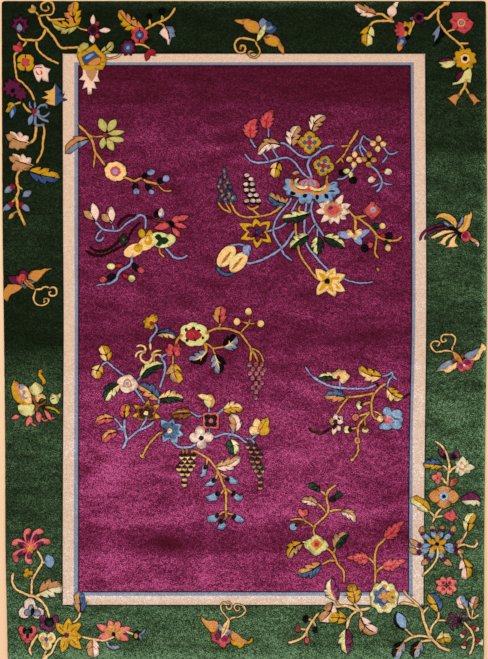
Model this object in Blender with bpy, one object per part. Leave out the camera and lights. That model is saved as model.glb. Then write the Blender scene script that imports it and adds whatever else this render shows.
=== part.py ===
# Hand-knotted Chinese deco rug, lying flat: one slab of wool pile on its cotton foundation.
# The pile is rounded at the rim and carved with V grooves along the border bands and round the
# main flowers, leaves, butterflies and birds. Metres, +Z up. Y runs up the rug, X across it.
# The origin is on the underside, at the middle of the rug's box.

import math
from typing import NamedTuple

import bmesh
import bpy
import numpy as np
from mathutils import Vector
from mathutils.geometry import delaunay_2d_cdt

# Driving dimensions
RUG_LENGTH = 3.66
RUG_THICKNESS = 0.014       # 2.5 mm cotton foundation and 11.5 mm pile
RIM_ROUND = 0.006           # the clipped pile leans over at the rim
CORNER_RADIUS = 0.016
GROOVE_DEPTH = 0.0045       # the carving is as deep as half its width

# Places are counted in marks of the knotters' chart, across from the left and down from the top.
CHART_LENGTH = 659.5        # marks down the whole rug
MARK = RUG_LENGTH / CHART_LENGTH
TOP_EDGE = 0.8
BOTTOM_EDGE = TOP_EDGE + CHART_LENGTH

WOOL_COLOUR = (0.17, 0.03, 0.09, 1.0)
WOOL_ROUGHNESS = 0.9


class SideRow(NamedTuple):
    """Where the side edges and band lines run at one height of the rug, in marks."""
    down: float
    edge_left: float
    cream_left: float
    blue_left: float
    field_left: float
    field_right: float
    blue_right: float
    cream_right: float
    edge_right: float


SIDE_ROWS = (
    SideRow(0.8, 1.5, 62.3, 74.3, 78.6, 410.0, 413.8, 425.4, 486.0),
    SideRow(110.0, 1.8, 62.3, 74.3, 78.6, 410.6, 414.2, 425.8, 486.7),
    SideRow(220.0, 2.3, 62.6, 74.4, 78.6, 411.5, 415.2, 426.6, 487.0),
    SideRow(330.0, 3.7, 63.2, 74.7, 78.6, 411.5, 415.2, 426.6, 486.8),
    SideRow(440.0, 4.9, 62.6, 74.2, 78.6, 409.4, 412.7, 425.4, 485.4),
    SideRow(550.0, 5.3, 62.2, 73.7, 78.6, 408.6, 412.7, 424.2, 484.4),
    SideRow(660.3, 7.5, 62.4, 73.5, 78.6, 408.4, 412.7, 424.0, 484.0),
)


class BandLoop(NamedTuple):
    """One carved line round the rug: its side columns, and its top and bottom in marks."""
    left: str
    right: str
    top: float
    bottom: float


BAND_LOOPS = (
    BandLoop("cream_left", "cream_right", 53.3, 605.4),
    BandLoop("blue_left", "blue_right", 62.3, 595.8),
    BandLoop("field_left", "field_right", 65.6, 591.8),
)


class Flower(NamedTuple):
    """A round or petalled outline. wide and high are its half sizes, in marks."""
    across: float
    down: float
    wide: float
    high: float
    petals: int = 0
    notch: float = 0.0      # how far the outline dips between petals, as a share
    turn: float = 0.0       # degrees


class Leaf(NamedTuple):
    """A pointed oval from stalk to tip, in marks."""
    across: float
    down: float
    tip_across: float
    tip_down: float
    width: float


FLOWERS = (
    # border, upper left
    Flower(19.8, 24.1, 8.6, 8.6),
    Flower(24.9, 62.2, 8.2, 8.2, 4, 0.2, 45),
    Flower(41.2, 72.4, 8.6, 8.6, 6, 0.15),
    Flower(93.0, 30.0, 15.0, 13.0, 4, 0.42),
    Flower(91.8, 58.4, 8.4, 7.4),
    Flower(139.5, 35.4, 8.0, 8.0, 5, 0.18),
    Flower(36.5, 113.5, 12.0, 9.0, 5, 0.2, 90),
    # border, upper right
    Flower(418.9, 17.5, 5.8, 5.8),
    Flower(461.3, 22.2, 11.7, 11.7, 6, 0.16),
    Flower(463.3, 58.4, 11.2, 11.2, 8, 0.14),
    # border, left and right middle: the birds
    Flower(26.0, 394.0, 14.0, 14.0, 7, 0.12),
    Flower(456.0, 231.0, 15.0, 9.0, 5, 0.2, 20),
    # field, upper left and left
    Flower(105.4, 135.7, 14.0, 14.0, 6, 0.35),
    Flower(114.0, 170.7, 11.0, 11.0, 5, 0.16),
    Flower(171.8, 224.3, 14.5, 13.0, 5, 0.4),
    Flower(150.5, 242.5, 22.0, 13.5, 7, 0.12),
    # field, the great spray
    Flower(308.6, 144.0, 12.5, 12.5, 4, 0.28),
    Flower(326.5, 169.5, 11.0, 11.0, 4, 0.28, 20),
    Flower(309.4, 190.5, 29.0, 14.0, 9, 0.08),
    Flower(340.5, 214.0, 13.5, 13.5, 8, 0.2),
    Flower(378.3, 143.8, 6.8, 6.8, 4, 0.2, 45),
    Flower(354.1, 159.8, 6.8, 6.8, 4, 0.2),
    Flower(258.0, 232.1, 14.0, 13.0, 6, 0.2),
    Flower(327.3, 281.1, 15.0, 14.0, 7, 0.2),
    Flower(374.0, 209.0, 8.2, 8.2, 5, 0.18),
    # field, lower left spray
    Flower(193.0, 335.0, 13.6, 13.0, 8, 0.12),
    Flower(148.5, 353.3, 13.0, 10.0, 4, 0.22),
    Flower(127.8, 384.1, 10.6, 10.6, 6, 0.12),
    Flower(146.1, 413.3, 14.0, 14.0, 5, 0.22),
    Flower(170.5, 433.5, 12.5, 12.5, 8, 0.24),
    Flower(212.5, 415.5, 8.0, 8.0, 4, 0.24, 45),
    Flower(202.5, 438.5, 11.5, 11.5, 5, 0.16),
    # field, right middle and lower
    Flower(341.3, 375.1, 8.5, 6.5, 5, 0.14),
    Flower(393.2, 418.7, 11.0, 10.0, 5, 0.16),
    Flower(316.8, 544.3, 12.0, 12.0, 6, 0.18),
    Flower(360.0, 557.8, 10.5, 6.5, 5, 0.12),
    Flower(390.5, 566.8, 10.5, 6.5, 5, 0.12),
    Flower(377.0, 610.0, 15.5, 14.0, 8, 0.1),
    # border, lower right
    Flower(437.6, 544.3, 21.5, 21.5, 10, 0.14),
    Flower(462.5, 466.5, 12.0, 11.0, 6, 0.3),
    Flower(443.8, 496.4, 15.0, 12.0, 4, 0.35),
    Flower(446.5, 585.8, 10.5, 10.0, 4, 0.18, 45),
    Flower(458.0, 622.5, 11.0, 11.0, 8, 0.25),
    # border, lower left
    Flower(31.1, 548.2, 17.0, 15.0, 6, 0.4),
    Flower(29.5, 611.5, 12.5, 11.5, 4, 0.18, 45),
    Flower(52.5, 617.5, 8.0, 8.0),
    Flower(69.0, 637.5, 14.5, 13.5, 6, 0.3),
    Flower(26.0, 635.5, 9.0, 9.0, 5, 0.16),
    Flower(47.5, 643.0, 8.0, 9.0, 5, 0.14),
    Flower(114.5, 633.0, 13.0, 10.5, 6, 0.18),
)

LEAVES = (
    # border, upper left and top
    Leaf(76.3, 25.5, 77.0, 3.5, 17.0),
    Leaf(42.5, 97.5, 65.5, 95.5, 19.0),
    Leaf(122.5, 30.0, 141.0, 13.0, 13.0),
    Leaf(160.0, 27.5, 175.0, 43.0, 14.0),
    # top butterfly
    Leaf(260.0, 34.0, 238.0, 17.5, 13.0),
    Leaf(262.5, 32.5, 275.5, 17.5, 13.0),
    Leaf(265.0, 35.0, 283.0, 52.0, 13.0),
    # border, upper right
    Leaf(368.0, 26.5, 372.0, 45.0, 10.0),
    Leaf(440.3, 23.0, 433.7, 45.1, 11.0),
    # border, left
    Leaf(31.1, 143.8, 6.2, 134.9, 13.5),
    Leaf(34.2, 164.1, 9.3, 155.9, 14.5),
    Leaf(59.1, 177.7, 29.2, 173.4, 16.0),
    Leaf(29.0, 282.5, 51.5, 269.0, 13.0),
    Leaf(25.0, 284.0, 5.5, 299.0, 13.0),
    # border, right: the butterfly
    Leaf(463.5, 357.5, 482.5, 345.0, 12.0),
    Leaf(459.0, 360.0, 435.5, 371.0, 12.0),
    # field, upper left and left
    Leaf(88.3, 139.6, 64.9, 152.0, 11.0),
    Leaf(108.0, 206.5, 109.5, 221.5, 9.0),
    # field, the great spray
    Leaf(256.8, 148.9, 279.0, 141.1, 10.0),
    Leaf(289.5, 144.0, 297.7, 126.0, 12.0),
    Leaf(311.8, 129.0, 323.4, 114.7, 12.5),
    Leaf(283.5, 219.5, 305.5, 216.0, 11.0),
    Leaf(307.8, 235.6, 291.0, 247.2, 11.0),
    Leaf(324.5, 237.0, 345.1, 245.7, 11.0),
    Leaf(229.5, 246.0, 217.8, 265.0, 10.0),
    # field, lower left spray
    Leaf(157.0, 334.0, 175.0, 335.6, 9.5),
    Leaf(219.0, 323.0, 221.5, 306.0, 12.5),
    Leaf(222.5, 346.5, 237.0, 337.0, 10.0),
    Leaf(206.0, 352.6, 190.0, 362.0, 10.0),
    Leaf(215.4, 355.0, 219.5, 373.5, 10.0),
    Leaf(160.9, 363.1, 141.0, 376.5, 10.0),
    Leaf(107.8, 361.1, 101.5, 346.0, 10.0),
    Leaf(116.0, 384.5, 103.5, 398.5, 10.0),
    Leaf(155.0, 398.5, 140.5, 384.5, 10.0),
    Leaf(161.5, 400.5, 184.0, 396.5, 10.0),
    Leaf(115.0, 418.5, 94.9, 421.0, 10.0),
    Leaf(192.0, 412.5, 172.5, 415.5, 10.0),
    Leaf(234.5, 431.5, 235.0, 414.8, 11.0),
    # field, right middle and lower
    Leaf(381.2, 377.5, 359.0, 370.5, 10.0),
    Leaf(345.0, 397.0, 324.1, 394.6, 9.5),
    Leaf(336.6, 415.0, 332.7, 433.5, 12.0),
    Leaf(388.0, 389.0, 402.5, 399.0, 9.5),
    Leaf(341.7, 509.0, 357.6, 517.8, 9.5),
    Leaf(302.5, 543.5, 289.0, 556.0, 10.5),
    Leaf(333.5, 549.0, 346.5, 533.5, 10.5),
    Leaf(321.0, 564.4, 300.0, 573.0, 10.0),
    # border, lower right and bottom
    Leaf(460.5, 496.0, 481.2, 499.9, 9.5),
    Leaf(430.0, 510.8, 412.0, 498.5, 10.0),
    Leaf(463.0, 560.5, 467.9, 579.0, 10.5),
    Leaf(346.5, 629.4, 345.9, 652.0, 11.5),
    Leaf(359.9, 618.0, 373.6, 634.4, 10.0),
    Leaf(345.9, 619.3, 329.8, 618.5, 10.0),
    Leaf(80.5, 611.0, 78.6, 593.5, 10.5),
    Leaf(40.5, 593.0, 61.0, 583.5, 15.0),
    # bottom butterfly
    Leaf(224.0, 628.0, 202.5, 618.5, 12.0),
    Leaf(229.0, 634.0, 252.0, 640.0, 13.0),
)

PETAL_STEPS = 4             # outline points to each petal of a flower with few petals
MANY_PETAL_STEPS = 2        # and of one with more petals than FEW_PETALS
FEW_PETALS = 6
ROUND_STEPS = 12            # outline points of a plain round flower
LEAF_STEPS = 3              # outline points along each side of a leaf
CORNER_STEPS = 3            # outline points round each corner of the slab
RIM_STEPS = 3               # steps of the rounded rim
SIDE_STEPS = 2              # outline points to each row of the side table
NEAR = 0.8                  # a shoulder this near another groove, in groove widths, is left out
SAME_PLACE = 0.15           # chart points this close together are one, in marks
SHARPEST_MITRE = 0.5        # keeps a shoulder from running far out past a leaf's tip


def clear_scene():
    for thing in list(bpy.data.objects):
        bpy.data.objects.remove(thing, do_unlink=True)
    for group in list(bpy.data.collections):
        bpy.data.collections.remove(group)


def collection(name):
    group = bpy.data.collections.new(name)
    bpy.context.scene.collection.children.link(group)
    return group


def smooth_between(values, position):
    """Catmull-Rom through evenly spaced values; position runs from 0 to len(values) - 1."""
    index = min(int(position), len(values) - 2)
    share = position - index
    before = values[max(index - 1, 0)]
    start, end = values[index], values[index + 1]
    after = values[min(index + 2, len(values) - 1)]
    return 0.5 * (
        2 * start
        + (end - before) * share
        + (2 * before - 5 * start + 4 * end - after) * share ** 2
        + (3 * start - before - 3 * end + after) * share ** 3
    )


def side_place(column, down):
    """How far across a side line lies at a height of the rug, in marks."""
    position = (down - TOP_EDGE) / CHART_LENGTH * (len(SIDE_ROWS) - 1)
    return smooth_between([getattr(row, column) for row in SIDE_ROWS], position)


def side_down(step, steps):
    """The height of one of evenly spaced points down a side, in marks."""
    return TOP_EDGE + CHART_LENGTH * step / steps


def slab_outline():
    """The rug's edge in marks, anticlockwise as seen on the chart, with rounded corners."""
    steps = SIDE_STEPS * (len(SIDE_ROWS) - 1)
    corner = CORNER_RADIUS / MARK
    points = []

    def turn(across, down, first_angle):
        for step in range(CORNER_STEPS + 1):
            angle = math.radians(first_angle + 90 * step / CORNER_STEPS)
            points.append((across + corner * math.cos(angle), down + corner * math.sin(angle)))

    top_left = side_place("edge_left", TOP_EDGE)
    top_right = side_place("edge_right", TOP_EDGE)
    bottom_left = side_place("edge_left", BOTTOM_EDGE)
    bottom_right = side_place("edge_right", BOTTOM_EDGE)
    turn(top_left + corner, TOP_EDGE + corner, 180)
    turn(top_right - corner, TOP_EDGE + corner, 270)
    for step in range(1, steps):
        down = side_down(step, steps)
        points.append((side_place("edge_right", down), down))
    turn(bottom_right - corner, BOTTOM_EDGE - corner, 0)
    turn(bottom_left + corner, BOTTOM_EDGE - corner, 90)
    for step in range(steps - 1, 0, -1):
        down = side_down(step, steps)
        points.append((side_place("edge_left", down), down))
    return points


def band_outline(loop):
    """One carved band line round the rug, in marks: straight ends and drifting sides."""
    steps = SIDE_STEPS * (len(SIDE_ROWS) - 1)
    downs = [loop.top + (loop.bottom - loop.top) * step / steps for step in range(steps + 1)]
    right = [(side_place(loop.right, down), down) for down in downs]
    left = [(side_place(loop.left, down), down) for down in reversed(downs)]
    return right + left


def flower_outline(flower):
    """A closed outline that dips between its petals, in marks."""
    each = PETAL_STEPS if flower.petals <= FEW_PETALS else MANY_PETAL_STEPS
    steps = flower.petals * each if flower.petals else ROUND_STEPS
    lean = math.radians(flower.turn)
    points = []
    for step in range(steps):
        angle = 2 * math.pi * step / steps
        reach = 1.0 - flower.notch * (0.5 - 0.5 * math.cos(flower.petals * angle))
        wide = flower.wide * reach * math.cos(angle)
        high = flower.high * reach * math.sin(angle)
        points.append((
            flower.across + wide * math.cos(lean) - high * math.sin(lean),
            flower.down + wide * math.sin(lean) + high * math.cos(lean),
        ))
    return points


def leaf_outline(leaf):
    """A closed pointed oval, fullest a little nearer its stalk, in marks."""
    stalk = Vector((leaf.across, leaf.down))
    along = Vector((leaf.tip_across, leaf.tip_down)) - stalk
    side = Vector((-along.y, along.x)).normalized() * leaf.width / 2
    points = []
    for direction in (1, -1):
        for step in range(LEAF_STEPS + 1):
            share = step / (LEAF_STEPS + 1)
            place = share if direction == 1 else 1 - share
            fullness = math.sin(math.pi * place ** 0.85) ** 0.8 if 0 < place < 1 else 0.0
            points.append(tuple(stalk + along * place + side * fullness * direction))
    return points


def chart_middle():
    """The middle of the rug's box, in marks."""
    outline = slab_outline()
    across = [point[0] for point in outline]
    down = [point[1] for point in outline]
    return (min(across) + max(across)) / 2, (min(down) + max(down)) / 2


def on_rug(points, height):
    """Chart marks as metres on the rug, at one height."""
    middle_across, middle_down = chart_middle()
    return [
        Vector(((across - middle_across) * MARK, (middle_down - down) * MARK, height))
        for across, down in points
    ]


def wool_material():
    material = bpy.data.materials.new("plum_and_green_wool")
    material.use_nodes = True
    shader = material.node_tree.nodes["Principled BSDF"]
    shader.inputs["Base Color"].default_value = WOOL_COLOUR
    shader.inputs["Roughness"].default_value = WOOL_ROUGHNESS
    shader.inputs["Metallic"].default_value = 0.0
    return material


def shoulder_loops(outline, width):
    """The two loops beside a closed outline, one groove's half width from it."""
    loops = ([], [])
    for index, place in enumerate(outline):
        here = Vector(place)
        before = (here - Vector(outline[index - 1])).normalized()
        after = (Vector(outline[(index + 1) % len(outline)]) - here).normalized()
        square = Vector((-after.y, after.x))
        side = Vector((-(before + after).y, (before + after).x)).normalized()
        reach = width / max(side.dot(square), SHARPEST_MITRE)
        loops[0].append(here + side * reach)
        loops[1].append(here - side * reach)
    return loops


def distances(points, outlines):
    """How far each point is from the nearest closed outline."""
    places = np.array([tuple(point)[:2] for point in points])
    nearest = np.full(len(places), np.inf)
    for outline in outlines:
        for index, end in enumerate(outline):
            start, end = np.array(outline[index - 1]), np.array(end)
            along = end - start
            share = np.clip((places - start) @ along / (along @ along), 0.0, 1.0)
            away = np.linalg.norm(places - start - share[:, None] * along, axis=1)
            nearest = np.minimum(nearest, away)
    return nearest


def carved_top(rim, outlines):
    """The pile's top as chart points with depths, in marks, and the triangles between them.

    The outlines are the bottoms of the grooves, with a shoulder loop to each side of them.
    Blender's constrained Delaunay triangulation joins them all up to the rim.
    """
    half_width = GROOVE_DEPTH / MARK
    points, edges = [], []

    def add_loop(loop, kept):
        first, count = len(points), len(loop)
        points.extend(Vector(place) for place, keep in zip(loop, kept) if keep)
        numbers = first + np.cumsum(kept) - 1
        for index in range(count):
            if kept[index - 1] and kept[index]:
                edges.append((int(numbers[index - 1]), int(numbers[index])))

    for loop in [rim] + outlines:
        add_loop(loop, [True] * len(loop))
    for outline in outlines:
        for loop in shoulder_loops(outline, half_width):
            add_loop(loop, distances(loop, outlines + [rim]) > NEAR * half_width)
    inside_constraints = 1
    made = delaunay_2d_cdt(points, edges, [], inside_constraints, SAME_PLACE)
    places, triangles = made[0], made[2]
    depths = np.clip(half_width - distances(places, outlines), 0.0, None)
    return places, depths, triangles


def inset(outline, depth):
    """The slab's outline moved inwards, in marks."""
    count = len(outline)
    moved = []
    for index, place in enumerate(outline):
        along = Vector(outline[(index + 1) % count]) - Vector(outline[index - 1])
        inwards = Vector((-along.y, along.x)).normalized()
        moved.append(tuple(Vector(place) + inwards * depth))
    return moved


def slab(name, group):
    """The rug: a flat underside, upright sides, a rounded rim and the carved pile on top."""
    outline = slab_outline()
    form = bmesh.new()
    rings = [[form.verts.new(place) for place in on_rug(outline, 0.0)]]
    for step in range(RIM_STEPS):
        angle = math.pi / 2 * step / RIM_STEPS
        height = RUG_THICKNESS - RIM_ROUND * (1 - math.sin(angle))
        ring = inset(outline, RIM_ROUND * (1 - math.cos(angle)) / MARK)
        rings.append([form.verts.new(place) for place in on_rug(ring, height)])
    rim = inset(outline, RIM_ROUND / MARK)
    grooves = [band_outline(loop) for loop in BAND_LOOPS]
    grooves += [flower_outline(flower) for flower in FLOWERS]
    grooves += [leaf_outline(leaf) for leaf in LEAVES]
    places, depths, triangles = carved_top(rim, grooves)
    top = [form.verts.new(place) for place in on_rug(places, RUG_THICKNESS)]
    for vert, depth in zip(top, depths):
        vert.co.z -= depth * MARK
    rings.append(top[:len(rim)])
    for triangle in triangles:
        form.faces.new([top[index] for index in triangle])
    for lower, upper in zip(rings, rings[1:]):
        for index in range(len(lower)):
            form.faces.new([lower[index - 1], lower[index], upper[index], upper[index - 1]])
    form.faces.new(rings[0])
    bmesh.ops.recalc_face_normals(form, faces=form.faces)
    mesh = bpy.data.meshes.new(name)
    form.to_mesh(mesh)
    form.free()
    rug = bpy.data.objects.new(name, mesh)
    rug.data.materials.append(wool_material())
    group.objects.link(rug)
    return rug


def main():
    clear_scene()
    parts = collection("chinese_deco_rug")
    rug = slab("pile_rug", parts)
    rug.data.shade_smooth()
    rug.data.set_sharp_from_angle(angle=math.radians(20))


main()
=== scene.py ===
import math

import bpy
import numpy as np
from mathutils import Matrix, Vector
from mathutils.geometry import delaunay_2d_cdt
from mathutils.kdtree import KDTree


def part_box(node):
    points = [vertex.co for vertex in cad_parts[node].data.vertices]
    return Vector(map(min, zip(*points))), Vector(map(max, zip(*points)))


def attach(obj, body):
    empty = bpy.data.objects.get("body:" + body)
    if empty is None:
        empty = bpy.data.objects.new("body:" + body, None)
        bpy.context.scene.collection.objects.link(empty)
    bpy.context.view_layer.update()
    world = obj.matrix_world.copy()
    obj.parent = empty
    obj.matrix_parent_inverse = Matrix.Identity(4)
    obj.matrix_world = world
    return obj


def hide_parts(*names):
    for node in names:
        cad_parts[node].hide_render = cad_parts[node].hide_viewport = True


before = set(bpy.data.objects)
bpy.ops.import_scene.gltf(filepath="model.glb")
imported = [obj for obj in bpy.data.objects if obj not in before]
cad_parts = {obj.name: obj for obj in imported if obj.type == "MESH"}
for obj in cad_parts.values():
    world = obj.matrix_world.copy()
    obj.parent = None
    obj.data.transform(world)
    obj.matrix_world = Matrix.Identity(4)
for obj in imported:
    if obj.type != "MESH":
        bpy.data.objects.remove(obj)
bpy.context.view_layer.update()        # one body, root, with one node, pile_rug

# Hand-knotted Chinese deco rug, seen from straight above.
# Places are marks of the knotters' chart, across from the left and down from the top.

chart = {
    "length": 659.5,       # marks down the rug
    "wide": 488,           # marks across the chart
    "topEdge": 0.8,        # mark where the rug starts
    "hand": 0.19,          # how far the knotters' line strays from a true one, marks
    "swell": 0.2,          # a motif reaches this far into the carved line round it
    "seed": 11,
}

strokes = {                # how a motif's strokes are drawn, lengths in marks
    "vineStep": 1.9,       # between points along a stem
    "half": 0.46,          # half width of a stem or a leaf as a share of its width
    "endHalf": 0.55,       # how wide a stem still is at its ends
    "cap": 0.8,            # how far a stem's end reaches on, in half widths
    "patchStep": 2.0,      # between points round a soft form
    "petalStep": 1.8,      # between points along a petal
    "leafCurl": 0.5,       # how far a leaf's tip curls back against its bend
    "leafEnd": 0.62,       # the last lobe's tip as a share of a lobe
    "veinEnd": 0.84,       # where a vein ends along its leaf
    "veinHalf": 0.8,       # half width of a vein at its foot
    "sideVein": (0.3, 0.52, 0.24),    # its foot and head along the leaf, and its reach sideways
    "ovalPoints": 2.2,     # points round an oval for each mark of its half sizes
}

rug = {
    "cornerRadius": 2.9,   # marks
    "cornerSteps": 6,      # edges round a corner
    "rimRound": 1.1,       # how far in the clipped pile starts to lean over, marks
    "rimSteps": 5,         # edges down the lean
    "rimWobble": (9, 0.16),    # length and height of the small waves along the edge, marks
    "rimClear": 0.7,       # motifs end this far inside the lean, marks
    "edgeStep": 3.0,       # marks between points round the edge
    "outlineStep": 3.9,    # longest straight run of a motif's outline
    "flatness": 0.12,      # a point that bends an outline less than this is left out
    "bandStep": 4.0,       # the same as outlineStep for a band line
    "bandPoints": 61,      # down each side of a band line before it is thinned
    "backInset": 0.15,     # how far in the underside ends, marks
    "backStep": 8.0,       # outlineStep and flatness for the underside
    "backFlatness": 0.8,
    "together": 0.04,      # points nearer than this become one
    "grooveHalf": 0.72,    # half width of a carved line, marks
    "grooveDepth": 0.0042,    # metres
    "paintedGrooveShade": 0.25,   # painted shade: how dark the ground is painted on its side of a carved line, for the groove's shadow
    "shadeHalf": 0.95,     # width of that strip, share of grooveHalf
    "shoulderClear": 0.82,    # a shoulder nearer to another carved line is left out, share of grooveHalf
    "aside": 0.1,          # marks to each side of an outline where its two dyes are read
    "shortest": 0.02,      # a shorter edge is left out, marks
    "gridSpan": (490, 662),    # marks across and down that the grid covers
    "gridStep": 5.0,       # marks between the plain ground's points
    "gridRow": 0.87,       # rows of the grid lie closer by this
    "gridClear": (1.2, 1.25),    # how far they stay from the lean and from an outline, marks
    "gridJitter": 0.22,    # how far each strays, in steps
    "ripple": 0.00035,     # height of each soft wave in the clipped pile, metres
    "rippleLengths": (34, 13),    # of the long and the short waves, marks
    "sharpAngle": 50,      # degrees; a steeper fold is shaded as an edge
    "seed": 7,
}

# Each dye in a dark and a pale tone; the pale tone is partly paler wool and partly painted light where the
# pile catches the light, the dark one partly painted shade.
dyes = {
    "green": ("090f04", "64875c"),
    "field": ("380811", "b13a75"),
    "cream": ("cdab92", "e6d6cc"),
    "blueLine": ("7d7a8a", "8699b4"),
    "gold": ("b58214", "e2ae34"),
    "apricot": ("dfac68", "f6d49c"),
    "stalk": ("cc9648", "ecc070"),
    "amber": ("b87830", "e6ac5c"),
    "olive": ("aa9a50", "ccbf7c"),
    "straw": ("c8ba70", "eee2b0"),
    "coral": ("b03a3e", "e26c68"),
    "rose": ("ca5c56", "ee8e84"),
    "red": ("8c1c26", "c23c42"),
    "plum": ("501430", "943c6c"),
    "orange": ("b8733a", "de9e60"),
    "brown": ("6e3a18", "a86a34"),
    "maroon": ("240a0c", "521c1c"),
    "black": ("060506", "1e1a20"),
    "shell": ("dcb49e", "f0d8c6"),
    "lilac": ("7c7fa4", "abb0d2"),
    "denim": ("2e4060", "5c7a9e"),
    "sky": ("6a82a0", "a0b6d0"),
    "slate": ("6c7488", "a2a8ba"),
    "pine": ("0c1a10", "2c5034"),
    "fawn": ("a87448", "d09e6e"),
    "ivory": ("cdbd94", "f0e6c4"),
}

sideRows = {               # where the side edges and band lines run across, at even steps down the rug
    "edgeLeft": (1.5, 1.8, 2.3, 3.7, 4.9, 5.3, 7.5),
    "creamLeft": (62.3, 62.3, 62.6, 63.2, 62.6, 62.2, 62.4),
    "blueLeft": (74.3, 74.3, 74.4, 74.7, 74.2, 73.7, 73.5),
    "fieldLeft": (78.6, 78.6, 78.6, 78.6, 78.6, 78.6, 78.6),
    "fieldRight": (410.0, 410.6, 411.5, 411.5, 409.4, 408.6, 408.4),
    "blueRight": (413.8, 414.2, 415.2, 415.2, 412.7, 412.7, 412.7),
    "creamRight": (425.4, 425.8, 426.6, 426.6, 425.4, 424.2, 424.0),
    "edgeRight": (486.0, 486.7, 487.0, 486.8, 485.4, 484.4, 484.0),
}

# How far each ground lies from dark to pale, as (down, drift), and soft patches in it,
# as (across, down, half width, half height, drift): partly abrash in the wool, partly painted light, the
# pile's sheen and the lit rim at the edges.
abrashAndSheen = {
    "field": ((60, 0.25), (95, 0.28), (110, 0.36), (150, 0.41), (260, 0.43), (315, 0.44), (326, 0.41),
              (342, 0.36), (349, 0.44), (400, 0.56), (460, 0.62), (522, 0.63), (531, 0.50), (550, 0.48),
              (560, 0.61), (592, 0.67)),
    # the rows at 659 are painted light on the lit rim along the bottom edge
    "greenLeft": ((0, 0.14), (150, 0.15), (190, 0.19), (250, 0.20), (344, 0.15), (356, 0.26), (372, 0.35),
                  (430, 0.40), (475, 0.36), (520, 0.34), (560, 0.47), (620, 0.54), (648, 0.53),
                  (659, 0.80)),
    "greenRight": ((0, 0.16), (60, 0.23), (152, 0.29), (158, 0.38), (250, 0.41), (300, 0.42), (320, 0.35),
                   (350, 0.40), (370, 0.49), (430, 0.54), (520, 0.53), (600, 0.57), (648, 0.54),
                   (659, 0.78)),
    "patches": ((148, 135, 26, 6, 0.15), (205, 149, 40, 4, 0.17), (235, 160, 18, 5, 0.07),
                (250, 212, 26, 18, 0.06), (210, 85, 110, 10, 0.02), (350, 85, 60, 16, -0.05),
                (346, 116, 18, 10, 0.10), (220, 118, 40, 8, -0.04), (340, 335, 80, 8, -0.05),
                (120, 340, 60, 4, -0.04), (335, 312, 70, 12, 0.06), (318, 400, 14, 30, 0.04),
                (296, 412, 26, 5, 0.06), (340, 428, 30, 6, -0.05), (302, 458, 24, 9, 0.17),
                (150, 448, 30, 8, 0.10), (113, 474, 15, 28, 0.20), (200, 480, 14, 10, 0.05),
                (165, 503, 12, 12, -0.12), (392, 480, 20, 40, -0.09), (275, 512, 40, 4, 0.19),
                (346, 513, 16, 5, 0.18), (130, 520, 44, 5, 0.16), (166, 543, 24, 11, -0.26),
                (260, 545, 70, 6, -0.05), (394, 528, 14, 12, -0.14), (112, 560, 11, 17, 0.28),
                (204, 574, 9, 12, 0.14), (90, 530, 10, 12, -0.12), (170, 572, 40, 8, -0.04),
                # painted light: (486.5, 340, ...) lightens the rim along the right edge, (270, 1, ...) the
                # top edge
                (250, 575, 40, 10, -0.06), (486.5, 340, 3.4, 230, 0.42), (270, 1, 170, 6, 0.22),
                (460, 278, 24, 20, 0.06), (455, 425, 20, 26, 0.08), (28, 232, 22, 26, 0.05),
                (30, 400, 28, 30, 0.05), (268, 640, 14, 12, 0.10), (200, 625, 40, 10, 0.04),
                (452, 60, 20, 14, -0.03)),
}

wool = {
    "tuft": 0.0044,        # metres from one cut yarn end to the next
    "contrast": 0.84,      # how much lighter and darker the yarn ends run
    "grain": 0.25,         # how much of that shows in every dye alike
    "clouds": 0.29,        # strength of the soft clouds in a tone, abrash and painted sheen alike
    "paintedCutShade": 0.55,      # painted shade: how dark the bottom of a carved line is painted
    "bump": 0.35,
    "pile": 0.004,         # metres
}
back = {                   # the same for the underside
    "tuft": 0.004,
    "contrast": 0.2,
    "grain": 0.2,
    "clouds": 0.1,
    "paintedCutShade": 0.0,
    "bump": 0.5,
    "pile": 0.001,
}
yarn = {                   # the cut ends that every face shows
    "rough": 0.95,
    "specular": 0.04,
    "stretch": (0.7, 1.0, 1.0),    # how the yarn ends are scaled before they are turned
    "turn": 0.62,          # radians
    "clump": 0.28,         # scale of the clumps against the ends
    "endShare": 0.78,      # the ends' part in the speckle, the clumps have the rest
    "clumpShare": 0.22,
    "spread": (0.35, 0.65),    # noise from here to here runs from dark to light
}
dyeAndSheen = {                 # how a tone drifts from dark to pale: abrash and painted sheen, and a painted glint
    "stretch": (1.0, 2.6, 1.0),    # clouds lie along the knotted rows
    "wideScale": 3.2,
    "smallScale": 7.0,
    "spread": (0.7, 1.3),  # noise from here to here runs from dark to light
    "power": 2.2,          # how late the pale dye comes in
    "glint": 0.12,         # painted highlight: how near to white the brightest yarn ends are
    "glintPower": 6.0,
    "glintShare": 0.3,
}

room = {
    "floorSize": 14,
    "floorHeight": -0.0004,    # a hair under the rug, so that the two faces do not share a plane
    "floorColour": "eec39a",
    "floorRough": 0.7,
    "sky": (1.0, 0.99, 0.97),
    "skyStrength": 0.72,
    "lampSize": (3.0, 3.0),
    "lampPower": 230,
    "lampPlace": (-0.8, 1.1, 6.4),
    "cameraHeight": 9.0,   # above the pile
    "sensor": 24,          # millimetres
    "photoWide": 488,      # marks across and down the picture
    "photoHigh": 659,
}

bands = {                  # dye inside each band line: its left and right columns, its top and its bottom
    "cream": ("creamLeft", "creamRight", 53.3, 605.4),
    "blueLine": ("blueLeft", "blueRight", 62.3, 595.8),
    "field": ("fieldLeft", "fieldRight", 65.6, 591.8),
}
ground = ("green", "field", "cream", "blueLine")

hand = np.random.default_rng(chart["seed"])
shapes = []                # (outline in marks, dye), later ones on top


def addShape(points, dye):             # every form goes through here and gets its hand-drawn line
    points = np.array(points, float)
    shapes.append((points + hand.normal(0, chart["hand"], points.shape), dye))


def pairs(numbers):                    # across, down, across, down and so on as places
    return np.array(numbers, float).reshape(-1, 2)


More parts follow.
